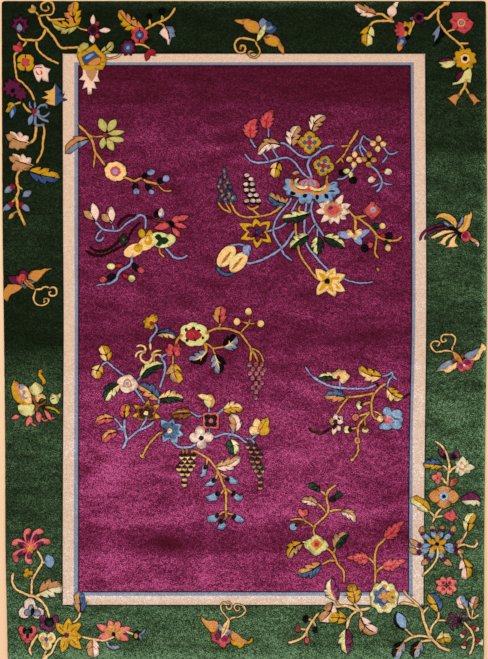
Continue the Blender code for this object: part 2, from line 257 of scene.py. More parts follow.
def curveThrough(points, step, closed=False):    # Catmull-Rom through given places
    places = np.array(points, float)
    count = len(places)
    spans = count if closed else count - 1
    out = []
    for i in range(spans):
        if closed:
            a, b, c, d = (places[(i + k) % count] for k in (-1, 0, 1, 2))
        else:
            a, b = places[max(i - 1, 0)], places[i]
            c, d = places[i + 1], places[min(i + 2, count - 1)]
        pieces = max(2, int(round(np.linalg.norm(c - b) / step)))
        out.extend(between(a, b, c, d, k / pieces) for k in range(pieces))
    if not closed:
        out.append(places[-1])
    return np.array(out)


def between(a, b, c, d, t):            # Catmull-Rom from b to c
    bend, twist = 2 * a - 5 * b + 4 * c - d, 3 * b - a - 3 * c + d
    return 0.5 * (2 * b + (c - a) * t + bend * t * t + twist * t ** 3)


def onCircle(x, y, radius, turn):      # turn in degrees, clockwise from the right
    angle = math.radians(turn)
    return x + radius * math.cos(angle), y + radius * math.sin(angle)


def turned(x, y, wide, up, turn):      # places round x, y, turned in degrees
    lean = math.radians(turn)
    across = x + wide * math.cos(lean) - up * math.sin(lean)
    return np.stack([across, y + wide * math.sin(lean) + up * math.cos(lean)], axis=1)


def panel(dye, *numbers):              # a form with straight sides; numbers are across, down pairs
    addShape(pairs(numbers), dye)


def patch(dye, *numbers):              # a soft closed form through a few places
    addShape(curveThrough(pairs(numbers), strokes["patchStep"], True), dye)


def vine(dye, width, *numbers):        # a stem of even width with soft ends
    line = curveThrough(pairs(numbers), strokes["vineStep"])
    along = np.gradient(line, axis=0)
    along /= np.linalg.norm(along, axis=1)[:, None]
    side = np.stack([along[:, 1], -along[:, 0]], axis=1)
    half = np.full(len(line), width * strokes["half"] + chart["swell"] * 0.5)
    half[[0, -1]] *= strokes["endHalf"]
    cap = half[0] * strokes["cap"]
    left, right = line + side * half[:, None], line - side * half[:, None]
    start, end = line[:1] - along[:1] * cap, line[-1:] + along[-1:] * cap
    addShape(np.concatenate([start, left, end, right[::-1]]), dye)


# From stalk to tip, in two tones with a vein. Pointed lobes lean to a curling tip; a bend over 0 is leftward.
def leaf(x0, y0, x1, y1, width, leftDye, rightDye, veinDye="black", bend=0.1, lobes=3, cut=0.34, point=0.22):
    stalk, tip = np.array([x0, y0], float), np.array([x1, y1], float)
    along = tip - stalk
    length = np.linalg.norm(along)
    side = np.array([along[1], -along[0]]) / length

    def spine(t):
        t = np.asarray(t, float)
        sway = bend * length * (np.sin(np.pi * t) * 0.8 - t ** 3 * strokes["leafCurl"])
        return stalk + along * t[:, None] - side * sway[:, None]

    def halfWidth(t):
        return (width * strokes["half"] + chart["swell"]) * np.sin(np.pi * np.asarray(t) ** 0.8) ** 0.74

    t, share, lean = [0.0], [0.0], [0.0]
    for k in range(lobes):             # where a lobe starts, how wide it is there and how far it leans
        notch = 1 - (cut + 0.12) * (k > 0)
        for at, much, forward in ((0.16, notch, 0), (0.55, 0.94, 0), (0.94, 1.14, point)):
            t.append((k + at) / (lobes + strokes["leafEnd"]))
            share.append(much)
            lean.append(forward / lobes)
    t, share, lean = (np.array(x + [last]) for x, last in ((t, 1.0), (share, 0.0), (lean, 0.0)))
    middle, full = spine(t), halfWidth(t) * share
    forward = spine(np.minimum(t + lean, 1)) - middle
    for turn, dye in ((1, leftDye), (-1, rightDye)):
        rim = middle + forward + side * turn * full[:, None]
        addShape(np.concatenate([rim, middle[-2:0:-1]]), dye)
    if veinDye:
        steps = np.linspace(0.0, strokes["veinEnd"], 6)
        line, thin = spine(steps), (strokes["veinHalf"] * (1 - steps * 0.7))[:, None]
        addShape(np.concatenate([line + side * thin, (line - side * thin)[::-1]]), veinDye)
        start, end, reach = strokes["sideVein"]
        for turn in (1, -1):
            foot, head = spine([start])[0], spine([end])[0] + side * turn * width * reach
            addShape([foot + side * turn * 0.3, head, foot + along / length * 1.9], veinDye)


def flower(x, y, lobes, turn, *rings):    # rings are (dye, radius, notch, height), widest first
    for dye, radius, *notch in rings:     # a notch under 0 gives points
        depth = notch[0] if notch else 0.0
        high = notch[1] if len(notch) > 1 else 1.0
        count = max(12, lobes * 7 if depth else int(radius * 3))
        angle = np.arange(count) * 2 * np.pi / count
        if depth > 0:
            wave = np.abs(np.cos(lobes * angle / 2)) ** 0.7
        else:
            wave = 1 - np.abs(np.sin(lobes * angle / 2)) ** 0.8
        reach = (radius + chart["swell"]) * (1 - abs(depth) * (1 - wave))
        addShape(turned(x, y, reach * np.cos(angle), reach * np.sin(angle) * high, turn), dye)


def oval(dye, x, y, halfWide, halfHigh, turn=0):
    count = max(10, int((halfWide + halfHigh) * strokes["ovalPoints"]))
    angle = np.arange(count) * 2 * np.pi / count
    wide, up = (halfWide + chart["swell"]) * np.cos(angle), (halfHigh + chart["swell"]) * np.sin(angle)
    addShape(turned(x, y, wide, up, turn), dye)


def petal(dye, width, x0, y0, x1, y1, fullest=1.35):    # from its foot to a rounder tip
    foot, tip = np.array([x0, y0], float), np.array([x1, y1], float)
    along = tip - foot
    side = np.array([along[1], -along[0]]) / np.linalg.norm(along)
    t = np.linspace(0, 1, max(8, int(np.linalg.norm(along) / strokes["petalStep"])))
    full = (width / 2 + chart["swell"]) * np.sin(np.pi * t ** (0.5 + fullest / 2)) ** 0.82
    full[-1] = 0.0
    spine, out = foot + along * t[:, None], side * full[:, None]
    addShape(np.concatenate([spine[:1], (spine + out)[1:], (spine - out)[-2:0:-1]]), dye)


def rosette(dye, width, x, y, inner, outer, *angles):    # petals round a centre
    for angle in angles:
        petal(dye, width, *onCircle(x, y, inner, angle), *onCircle(x, y, outer, angle))


def spokes(dye, width, x, y, inner, outer, *angles):    # short lines round a centre
    for angle in angles:
        vine(dye, width, *onCircle(x, y, inner, angle), *onCircle(x, y, outer, angle))


def fan(dye, width, x0, y0, *tips, fullest=1.15):    # petals from one foot to several tips
    for x1, y1 in pairs(tips):
        petal(dye, width, x0, y0, x1, y1, fullest)


def many(draw):                        # the same kind of stroke, once for each row of numbers
    def drawRows(dye, *rows):
        for row in rows:
            draw(dye, *row)
    return drawRows


vines, ovals, petals, patches, panels, fans = (many(draw) for draw in (vine, oval, petal, patch, panel, fan))


def toned(rimDye, heartDye, width, x0, y0, *tips):    # petals with a second tone down the middle of each
    fan(rimDye, width, x0, y0, *tips)
    foot = np.array([x0, y0], float)
    for tip in pairs(tips):
        petal(heartDye, width * 0.42, *(foot + (tip - foot) * 0.22), *(foot + (tip - foot) * 0.78), 1.1)


def bud(capDye, x0, y0, bodyDye, x1, y1, size=5.2):    # a cap where the stem ends and a body beyond it
    foot, head = np.array([x0, y0], float), np.array([x1, y1], float)
    along = (head - foot) / np.linalg.norm(head - foot)
    petal(bodyDye, size, *(foot - along * size * 0.1), *(head + along * size * 0.62), 1.1)
    oval(capDye, x0, y0, size * 0.4, size * 0.5, math.degrees(math.atan2(along[1], along[0])))


def beads(dye, radius, *numbers):
    for x, y in pairs(numbers):
        oval(dye, x, y, radius, radius)


# The sprays of the border and of the field, each from its stems up to the forms that lie on them.
def borderTopLeft():
    vines("stalk",
        (2, 38.9,15.6, 46,14.8, 51.8,14, 53.8,9, 52,3, 46.5,1.6, 41.6,3.6, 40.8,7.4, 43.6,10.4, 47.2,10.4,
        48.8,8.4, 47,6),
        (2, 35,11.2, 38.9,15.6))
    fan("stalk", 4.4, 35.6,12, 27.4,9.6, 31.6,4.4)
    vines("stalk", (2.4, 38.5,15.6, 42,25, 46.3,28.4, 53.7,37.3, 60.7,47.1, 70,47.6, 79,47.1, 82.5,49),
        (2.4, 46.3,28.4, 43,35, 38.7,39.6, 31,39.8, 23.6,39.8, 20,37.4, 17.6,33.4),
        (2.2, 26.5,40.8, 24.8,44, 22.6,46.4),
        (2.2, 18,52.4, 14.6,54.6, 14.6,62.2, 15.8,72, 17.4,79.4, 21.2,81.4, 26.5,87.1, 31,92.4, 34.4,100.6),
        (2.2, 36.2,40.4, 37.4,48.8, 43.4,55.2, 50,59.6, 58.6,63.6),
        (2.2, 46.7,15.6, 49.6,19.6, 57,19.4, 64.6,19.1))
    flower(20.2,24.6, 7, -90, ("plum", 9.8, -0.36), ("maroon", 4.6, -0.3))
    petal("slate", 5, 19.4,32.4, 19.4,23.6, 0.9)
    fan("coral", 5, 18,52, 13.2,44.8, 19.4,41, 22,46.4)
    flower(25.5,62.4, 4, 45, ("gold", 9.2, 0.2), ("maroon", 4.4, 0.3), ("coral", 3.8))
    vines("black", (1, 16.8,62.4, 22,62.4), (1, 25.4,70.6, 25.6,66.4), (1, 25.4,54.6, 25.4,58.4))
    panel("shell", 33,70, 35,65.4, 41.6,63.8, 44.8,66.8, 50.8,69, 48.2,73, 48.8,82, 43,80.4, 41.4,77.6,
        39,82, 36.4,79.6, 34,75)
    vines("coral", (1.3, 35,68.6, 38,67.2, 42.4,68), (1.3, 36,70, 37,73.4, 39.6,75),
        (1.3, 39.6,70.4, 41.6,72, 41,74.4))
    flower(12.2,87.6, 9, 10, ("plum", 9.6, 0.42))
    flower(20.8,94, 7, 40, ("plum", 6.6, 0.42))
    oval("black", 12.8,90.6, 2.2,2.2)
    panel("stalk", 54.8,83.6, 54.8,105.6, 50,104.8, 45.4,102.4, 47.4,99.6, 41.2,97.4, 48,94.8, 44.2,91.4,
        49.6,90.4, 52.8,88)
    panel("denim", 55.2,81.6, 57,85.6, 61.6,91, 60.4,94.2, 64.2,94, 62.4,98, 66.6,99.8, 61,101.6,
        56.4,105.6, 54.8,105.6)
    leaf(76.2,25.6, 73.2,1.6, 17, "orange", "gold", "maroon", -0.12)
    vine("maroon", 1.1, 73,18.6, 73.2,12.4)
    leaf(77.4,25.4, 51,23.6, 13, "olive", "gold", "maroon", -0.16)
    vine("stalk", 1.8, 76.6,25.7, 81,28.8, 87.6,30)
    petals("shell", (4.8, 92.4,26.6, 92.8,14.2), (5.2, 98.4,30.6, 110.8,30), (5.4, 91,33.6, 93,43.4))
    fans("coral", (4, 95.6,26.4, 98.6,21.4), (4, 95.6,33.4, 98.8,37.8))
    flower(93,30, 4, 0, ("plum", 5.8, 0.2), ("maroon", 3.6, 0.2))
    leaf(79,55, 87.4,42.6, 9, "olive", "olive", "gold", -0.14, 2)
    leaf(101,53, 113.6,42.6, 8.5, "olive", "olive", "maroon", 0.1, 2)
    vine("apricot", 1.6, 105,58.2, 112,58.4, 116.4,57, 121,54)
    panel("shell", 82.6,68.6, 82.6,75.4, 79,79.6, 85,80.4, 81.8,88.8, 87.2,87.4, 88,94.6, 91.6,93.8,
        92.2,88.2, 97,88.8, 94,81.8, 99.8,81.6, 97.6,76, 99,68.6)
    panel("fawn", 84.4,68.6, 98.2,68.6, 96,76, 91.8,82, 87,76)
    panel("gold", 95,43.6, 99.6,50, 107.2,57.2, 105.2,64.4, 102.4,70, 92,69.4, 82.4,69.8, 79.4,62,
        76,53.4, 84.6,50)
    panel("brown", 93.4,50.4, 102,57.2, 99.6,65.2, 84.6,65.4, 80.8,57)
    patch("denim", 93,51.2, 98.6,56, 92.4,58.8, 85,63.8, 81.8,57.6, 87,54)
    patch("sky", 89,54.4, 94,53.4, 92,56.4, 87,59.4, 85,58)
    patch("orange", 100,57.8, 98.6,64.2, 88.6,64.6, 91.8,60.2)


def borderTopMiddle():
    vines("stalk", (2.3, 145.3,29.2, 150,26.4, 155.5,23.4, 161.7,21, 168,17.6, 172,13.2, 175.2,7.6),
        (2.1, 150,25.6, 149.4,19.6), (2.8, 162.4,21, 162,15.6), (1.9, 157.6,23, 162,24, 164.6,26.8),
        (2.2, 133.5,44.4, 142.2,44.6, 149.6,48.4))
    ovals("black", (149.4,16.4, 2.2,2.6), (162,11.4, 2.8,3))
    leaf(142,29, 117.4,11.6, 15, "gold", "orange", "maroon", -0.12, 4)
    vine("maroon", 1.1, 130,20.4, 135.6,19.6)
    flower(139.5,35, 8, 22, ("coral", 8.6, 0.2), ("maroon", 4.4), ("denim", 3.9, 0.2), ("sky", 1.6))
    vines("black", (1.1, 139.6,27, 139.5,31), (1.1, 139.4,39, 139.3,43))
    flower(128,47.6, 8, 22, ("plum", 8, 0.34), ("denim", 4.2, 0.2), ("sky", 1.6))
    fan("red", 5.4, 150,48.4, 155.2,55.4, 146,60.6)
    panel("shell", 164.8,26.2, 160.4,30.6, 159.6,33.6, 162.8,36.6, 166.4,39.4, 167.4,44.6, 169.4,44.6,
        169.8,39, 168.4,32)
    panel("slate", 165.6,26.2, 173,26.2, 173.6,29.4, 175.4,31, 173.8,33, 175.4,36.2, 171.8,37.4,
        170.6,43.4, 169.2,44, 169.4,37)
    vine("maroon", 1.4, 165.8,27.6, 168.4,32.6, 169.4,39.4)


def borderTopButterfly():
    vines("stalk",
        (2.2, 255,40.5, 248,38.6, 241.4,38, 236,40.8, 234.6,46, 236.8,51, 241,52.8, 244.8,50.6, 245.2,46.6,
        242.6,45, 240.4,47.2, 240.8,49.6),
        (1.8, 255.4,41, 257,45, 259.4,49, 259.2,53.8, 255.4,57.2, 250.8,56.6, 248.6,53.4, 250.4,51.2,
        253.2,51.6))
    fan("orange", 11, 258.2,33.4, 243,18.6, 250,20)
    fans("amber", (4.4, 250,23.4, 234,20.2), (7, 257,31.6, 246.4,19.8))
    fan("gold", 5, 257,32, 248.4,22.6)
    fan("slate", 9, 264.4,31, 262.6,17.4)
    fan("denim", 9, 264.4,31, 277.4,27.4, 271.4,21.4)
    fan("slate", 3, 266.4,29.6, 273,26.4, 262.8,21)
    fan("orange", 11, 263.4,37.4, 281.4,44.2, 276,42)
    fan("amber", 4.6, 277.4,40.4, 284.2,54.2)
    fan("gold", 6, 266,38.8, 278.6,44.6)
    fan("brown", 2, 264,38, 270.4,37)
    petal("straw", 5.4, 265.4,25.4, 256.8,41.4, 1)


def borderTopRight():
    vines("stalk", (2.5, 373.8,14.4, 382,14, 387,17.6, 393.8,21.4),
        (2.5, 394.4,21.5, 385,20.6, 376,21.2, 371.4,23.6, 368.6,27.4), (2.8, 390.8,15, 391.4,20.4))
    leaf(376,14.4, 354.2,5.4, 11.5, "shell", "fawn", "brown", -0.06, 3, 0.2)
    leaf(370.4,25.6, 366.4,46.2, 14.5, "straw", "gold", "maroon", 0.08, 2)
    petals("shell", (9.6, 391.2,17.4, 392.6,4.8, 0.9), (4, 392.6,9, 398,1.8, 0.8))
    vine("stalk", 2.6, 414.4,20.4, 411.4,28, 407.2,37)
    oval("black", 406.6,36.6, 3,3)
    rosette("gold", 4.6, 407.6,29, 0,8.6, 205, 250, 295, 120, 160)
    rosette("coral", 4.4, 405.4,30, 0,11.4, 178, 205, 152, 228, 125)
    oval("maroon", 406.4,28.6, 2.2,2.5)
    flower(401.8,41.6, 5, 0, ("denim", 4.8, 0.2), ("sky", 1.8))
    petal("orange", 5.6, 400.6,42.4, 399.2,51.4, 0.9)
    petal("slate", 2.6, 413.4,20, 410.4,17)
    flower(419,17.5, 8, 0, ("plum", 6, 0.16), ("maroon", 3.2), ("black", 2.1))
    vine("stalk", 2.8, 424,18.2, 428.6,17.6, 433,13.4, 437.6,9, 441.6,6.4, 445.4,3.8, 448,3.6)
    oval("stalk", 447.6,3.8, 1.4,2)
    vines("stalk", (2.4, 439.2,8.6, 438,15, 439.4,22, 443,28, 447.4,33.4, 455,40, 461,45, 463.4,49.4),
        (2, 446.6,31.4, 451,30.4, 455.8,28.4), (2.5, 459.6,43, 464,43.4, 468.6,43))
    panel("slate", 440,24, 437.4,27.4, 431.8,34.4, 435.4,35.2, 433.8,42.4, 438,37, 439.8,31)
    panel("black", 440.4,25.4, 444.8,34.6, 441,38.4, 438.8,43, 433,46.2, 438.2,37.2)
    panel("coral", 451.8,12.6, 460,11.8, 466.8,12.6, 468,17.4, 474.2,22.6, 470.8,28.8, 464.4,34.2,
        458.8,31, 452.2,28.6, 453,24.6, 449.4,20.6, 452.6,17.6)
    flower(461.4,22.8, 5, 0, ("stalk", 3.7), ("coral", 2.6), ("slate", 1.5))
    spokes("maroon", 0.8, 461.2,22.6, 5,8.6, *range(-19, 341, 72))
    flower(465,58.6, 9, 14, ("gold", 11.8, 0.27, 0.95), ("gold", 10, 0.1, 0.95), ("brown", 5),
        ("apricot", 4.5), ("black", 2.4))
    panel("plum", 454.6,60, 448,57.6, 441.6,58.8, 438,61.2, 446,61.8, 454.4,61.6)
    panel("straw", 454.6,61, 446,61.4, 438.4,62.2, 442.2,64.4, 440.8,66.6, 446.6,68.4, 451.4,67, 455.4,64)
    panel("plum", 463.8,69.4, 458.4,73.4, 455.8,77, 456.2,82, 461.6,78.8)
    panel("straw", 470.6,67.4, 472,74, 470.8,82.4, 466,81.8, 460,83.6, 452.4,85.2, 452.6,82.8, 457.6,82,
        461.8,77.4, 464.6,70.6)
    vines("stalk", (2.7, 465.4,79, 465,86, 462,90.6, 458.8,95.6), (2.1, 465,86.6, 467,90.4, 469.4,94.4))
    panels("orange",
        (459.6,94, 453.4,94.6, 450,97.4, 446.8,97.6, 451,101, 455.8,105.8, 456.8,101, 459.6,97.6),
        (468.2,93.4, 474,94, 477.6,99.4, 482,101, 477.4,102.2, 473.6,105.8, 473.4,101.6, 470,98.4))


def borderLeft():
    vines("stalk", (2.4, 22.8,103.4, 26.6,109, 31.4,112.2), (2.2, 20.8,102, 14,104.4))
    fan("gold", 5, 15,104.4, 7,104.8, 5.4,112)
    petal("denim", 6, 15.2,105, 10.2,119, 0.9)
    petal("sky", 2.2, 12.8,109, 11.4,118, 0.9)
    vines("slate", (2.6, 34.8,108, 34.8,101.4), (2.2, 29.6,101.4, 29.6,105.6, 32.4,108.6),
        (2.4, 37.4,108.8, 41,105, 46,105, 46.4,108.4), (2, 37.4,112.8, 41.4,116.4, 46,115.8, 49.4,112),
        (2.8, 37.4,114, 41,118.6, 48.4,121.6))
    petal("slate", 5, 32.6,113.4, 28.6,125.4)
    vine("slate", 2.8, 35.8,114, 35.4,124.4, 40,125.2, 44.6,124.4)
    oval("slate", 36.4,112.2, 3.4,3.4)
    vines("sky", (1, 41,106, 45.4,105.6), (1, 29.8,116, 28.8,122.6))
    oval("red", 34,111.4, 2.7,2.8)
    vines("stalk", (3, 36,126.2, 35.4,133, 34.4,138.4, 30.4,143.2),
        (2.3, 43.2,125.6, 44.4,131, 42.8,142, 42,151.6, 36.4,163))
    for across, down in ((0, 0), (3, 22)):
        toned("shell", "shell", 6.4, 20 + across, 142 + down, 28.4 + across, 136 + down, 19.6 + across,
            131.6 + down, 9.6 + across, 131.4 + down)
        panel("shell", 31 + across, 143.2 + down, 24, 138.6 + down, 12 + across, 137 + down, 20 + across,
            142 + down)
        fan("fawn", 7.4, 18 + across, 141 + down, 5.6 + across, 134.6 + down, 8.6 + across, 148 + down,
            17.4 + across, 150.4 + down, 26 + across, 148 + down)
        panel("fawn", 31 + across, 143.6 + down, 20 + across, 141.4 + down, 9 + across, 137.4 + down,
            16 + across, 147 + down, 24 + across, 147.4 + down)
        vine("maroon", 0.9, 29 + across, 143.4 + down, 20 + across, 141 + down, 12 + across, 138 + down)
    leaf(29.4,171.4, 59.8,178.4, 17, "gold", "denim", "black", 0.04, 3, 0.3)
    vines("stalk",
        (2.8, 19.2,170.6, 16.8,176, 17,183, 18.4,188.4, 18.2,193, 16.4,197.4, 17,203, 18.4,210, 20.4,214.8,
        24.8,225),
        (2.3, 17.4,184, 19.6,187.6, 22.4,189), (2, 16.6,196.4, 14.4,199.6, 11.4,202.4),
        (1.9, 17.6,210.4, 13.6,213.6))
    bud("red", 12.4,186.2, "slate", 7,190.4, 6)
    petal("slate", 6, 21.6,197, 31.4,191)
    bud("red", 10.8,204.2, "slate", 6.6,208, 6)
    bud("red", 21,204.2, "slate", 27,208.8, 6)
    petal("stalk", 4, 14.4,212, 8.6,219)


def borderLeftButterfly():
    patches("plum", (19.2,275.4, 19.8,271.4, 23,269.8, 26,271, 29,273.2, 27.6,278.6, 23,277),
        (8,276, 12,276.4, 16,276, 19,283.8, 14,284, 10,282.4))
    patch("coral", 16,276.6, 19,275.8, 21,274, 25,274.6, 27,279.4, 24,280, 21.4,284.4, 18,282.6)
    vine("red", 1.3, 22,276, 22,280, 20.6,283)
    patch("amber", 28.2,278.6, 28.6,275, 31.4,271.6, 36,270, 41,269.6, 45,268.2, 52,268.4, 47,270.8,
        43,274.6, 39,279.4, 36.4,282, 31,279.4)
    patch("orange", 31,275.6, 35,273.4, 40,273, 37.6,278, 33,277.4)
    patch("amber", 22.2,287.4, 19,290.6, 13.6,293.4, 9.4,296, 7.6,300.8, 5.4,300.4, 3.6,296, 4.6,289.4,
        7.4,285, 12,284, 17,284.4, 21,285.6)
    patch("orange", 18,287, 13,287.6, 9.4,292.6, 14,292, 18.6,289.6)
    petal("orange", 4.8, 22.4,278.8, 35,289.8, 0.9)
    vine("brown", 1.3, 24,279.4, 28.4,284.4, 33.6,288.4)
    vines("slate", (2.4, 29.4,280.4, 31.6,282.4, 34,282), (2.6, 21.8,284, 24,286.8, 26,287.6))
    vines("apricot", (1.8, 34.6,290.2, 37,289.4, 41,289.2, 43,287.4, 46,286.6, 49,287.4),
        (1.9, 49.4,288.8, 52,287.4, 55,287.8, 56.8,291, 55.6,294.6, 52.6,296, 49.4,295, 49,292.4, 51,291.6),
        (1.8, 36,290, 34.2,294, 33.6,299, 35.2,303, 39,305.2, 43,305.2, 47,303.4, 48.6,300.4, 47.2,298.4),
        (1.3, 46.6,298.4, 43.4,299, 44.8,301, 43,302.6))


def borderLeftBird():
    vine("gold", 3.6, 43,384, 44.2,381.4, 42.2,378.4, 40,375.4, 38.8,373.4)
    petal("gold", 3.4, 38.6,374, 42.4,369.6, 0.9)
    fan("straw", 7.6, 36,390, 29,387.4, 35.4,382.2, 43.4,387.6, 41.4,392.4, 33.4,395.6, 29.4,391)
    oval("straw", 36,389.6, 5.4,4.8)
    fan("straw", 8, 26,410.4, 17.4,406, 23,405.4, 34.2,405, 34.8,413.4, 27,416.4, 19.4,412.6)
    oval("straw", 26.4,410.6, 6.6,5)
    patch("gold", 14,379.6, 15.4,384, 17.4,391, 22,399, 30,403, 30,405, 24.6,405.4, 19,403.4, 14.4,399.6,
        12,394, 11.2,387.4)
    patch("orange", 14.4,381.6, 18.4,383, 20.6,390, 25,398, 27.4,403, 22,401, 17,394.4, 14.8,387.6)
    patch("apricot", 19,384.6, 24,385, 28.4,389, 30.6,395, 31.4,403.2, 26.6,402.6, 22.4,396.6, 19.6,390)
    vines("slate", (2.5, 19.2,385.6, 20.4,388.8, 22.8,387.6, 21.6,384.6, 24,385),
        (2.4, 22.2,391, 24.8,391.6, 22.8,395.4, 24,398.4, 27.4,397.8))
    patch("brown", 31.4,397, 34,396.4, 36.4,402, 39.4,404, 45.8,400.2, 45.4,403.4, 40.4,406, 38.4,409.4,
        36,412, 34,410.4, 35.6,406, 33,402)
    patch("apricot", 34.8,396.6, 38.4,394.4, 42.4,393.8, 44.6,396.4, 46,398.8, 40.6,398.4, 37.4,402.4)
    vine("orange", 1, 38,396.6, 41.6,396, 44,397.6)
    oval("maroon", 43.4,406.8, 1.5,1.5)
    vine("rose", 2, 19,416.2, 16,418, 12,418.2)
    petal("rose", 4.4, 19,415.6, 11,419, 0.7)
    fan("rose", 4.4, 29.6,415.8, 26.6,427, 31,424.4)
    vine("rose", 1.7, 30.6,421.6, 33,424.6, 36.4,426)
    fan("rose", 4.6, 36.8,411.6, 39.6,423.2, 41,418.6)
    vine("rose", 1.6, 41,417.6, 44,420.4, 47.8,420.2)
    fan("rose", 4, 43.8,409.2, 51.8,421.2)
    vine("rose", 1.8, 47.6,415, 51,418.4, 55.2,417.4)
    vine("gold", 2.4, 45.6,407.4, 50,408, 54.6,409.4, 57.6,411.8, 59.8,413.6)
    oval("straw", 54.2,399.4, 4.3,4.8)
    petals("straw", (3.8, 56,400, 60.8,393, 0.7), (2.6, 52,396.6, 52.6,393.4, 1.2))
    vine("maroon", 1.1, 51,399.6, 55.4,397.8)


def borderRightBird():
    vines("plum", (1.9, 443,223.8, 438,225, 432,227.4, 426,230.6, 422,234.4, 420,240),
        (1.9, 447.8,227.6, 441,228.4, 434,230.4, 429,233, 426,236, 424.8,239))
    vine("maroon", 1, 444,226, 437,227.4, 430,230)
    patches("apricot",
        (455,231.4, 449,230.4, 442,231, 436,234, 430.6,237.2, 434.6,238.4, 440,236.2, 447,233.2),
        (455.4,233, 449,234.6, 443,238.4, 440.6,241.4, 436,243.6, 441,243.6, 445.4,245.4, 446.6,240.4,
        451,236.6),
        (457.4,234.8, 452.8,237.4, 450,241.4, 448.8,245, 444.8,247.6, 450.6,247.2, 458.6,246.4, 455.6,243,
        455.6,239))
    patch("stalk", 435.2,218.8, 438,214.8, 441.6,213, 447,213.4, 452.4,216, 456,219.8, 457.2,225, 456.4,228,
        453.6,225.4, 449.6,221.6, 445.4,219.2, 440,217.4)
    vine("amber", 1.9, 443,216, 448.6,217.8, 452.6,221.4, 455.4,225.6)
    patch("stalk", 471.2,210.6, 472.6,214.6, 471,219.4, 470.2,224.4, 467.8,228.6, 465,232, 461.6,232.4,
        457.6,230, 461,227, 463.6,222, 465,216, 469.8,214)
    vine("amber", 2.4, 467.6,216, 465.8,220.6, 464.6,225, 461.6,229)
    vine("brown", 1.6, 458.4,221.4, 457.4,224.4, 456.6,228)
    vines("slate", (2.9, 444,221.6, 448,224.6, 452.6,226.6), (2.7, 462.8,217.4, 461.4,222, 458.4,227))
    vine("black", 3.7, 449,227.4, 453.4,228.8, 457.4,232, 460.6,236, 463,238)
    oval("coral", 466.2,236.2, 4.9,5.5, 25)
    oval("red", 465.6,235.6, 2.8,3.6, 35)
    oval("plum", 464.6,235.6, 1.7,2.4, 35)
    patch("fawn", 470,236.8, 474,238.4, 479,241.6, 479,247, 476.6,245.8, 474.4,242.6, 470.2,239.8)
    vine("shell", 1.9, 475.4,243, 478,243.6, 478,246.6)


def borderRightButterfly():
    vines("apricot",
        (1.7, 452.4,350.2, 452.6,346.8, 455,342.6, 455.6,338.6, 453,335.2, 448,334.4, 443.4,334.6, 441,338,
        441.6,341, 444,342.2, 446.4,340.2, 444.4,338.8),
        (1.7, 452,351.4, 446,350.6, 440,351.8, 435,351.6, 432,348, 430.6,344.6, 433,341.8, 437,341.2,
        440,342.6, 438.6,345.4, 436.6,346))
    ovals("brown", (454.6,359.6, 2.4,2.4), (462.6,356, 1.9,2.6))
    petal("orange", 4.8, 452,350.4, 463.2,364.4, 1.1)
    patch("slate", 437,370, 441,365, 446,361.4, 451.2,359.8, 453.8,363.4, 449,367, 441,370.2)
    patch("apricot", 434,371.4, 440,369.8, 447,368, 453,364.2, 457.6,362.4, 456.6,367.4, 453,369.8,
        450,372.4, 445.6,372.6, 443.6,371)
    patch("slate", 464,355.4, 467.4,352.6, 472,351, 479.8,348, 477,353, 474,357.6, 469.4,358.8, 465.4,357.4)
    patch("apricot", 465,358, 470.4,359, 475,357.4, 477,352.4, 480.4,347.6, 482,342.4, 485,346.6, 484,351,
        481,354.6, 479.4,359, 475,360.6, 469,360.4)
    fan("coral", 7.4, 463.4,365.8, 456,365, 459.4,371.4, 466,370.4, 473,366.8, 474.4,361.4, 469,359.6)
    oval("coral", 465.6,366, 5.4,4, -20)
    ovals("plum", (460.8,366.2, 2.4,2.9), (467.4,362.4, 3.6,2.9))
    oval("shell", 464.2,365.4, 0.9,1)


def fieldUpperLeft():
    leaf(88.8,139, 64.2,151.8, 12, "slate", "orange", "black", 0.12, 2, 0.1)
    vine("amber", 2.6, 78.4,124.8, 84,130, 88.6,135.6, 92.6,141.6, 94.8,151, 99,157.4, 104.8,165)
    oval("amber", 90.2,136.4, 2.6,2.2, 30)
    vines("amber", (1.6, 92,136.6, 98,136.4, 104,136), (2, 95.3,152.6, 94.4,160, 93.5,167.6))
    petals("olive", (8.2, 105.4,132.4, 99.8,118, 1.1), (8.2, 107.8,131.6, 115.8,119, 1.4),
        (5.4, 107,133.8, 125,131.4, 1), (5.8, 107,138.4, 124.8,140.2, 1.5),
        (7, 106.6,138.4, 113.8,151, 1.2), (6.4, 104,136.6, 101.2,149, 1.2))
    oval("coral", 104.8,135, 2,2)
    flower(115.4,171.4, 8, 12, ("apricot", 11.2, 0.1, 0.88), ("coral", 5.2, 0.1), ("lilac", 2.4))
    vines("amber",
        (2.5, 123.4,177.2, 128,178.4, 132.6,180.8, 137,180, 141.4,178.2, 146,181.4, 152,182.8, 157.6,184.2),
        (1.7, 157.6,184.2, 161,188.4, 164.6,190.8, 171.6,190.8))
    oval("black", 145,175.8, 3.8,2.3, -38)
    oval("lilac", 151,172.4, 4,2.7, -22)
    oval("black", 160.4,180.8, 3.4,2.5, -20)
    oval("lilac", 166,178.4, 3.4,3.2, -40)
    oval("black", 135.4,186.8, 2.7,3.6, -8)
    oval("lilac", 136.4,191.4, 3.2,2.7, 20)
    oval("black", 148.4,187.6, 2.4,3.7, -32)
    oval("lilac", 151.4,192, 3,2.3, 20)


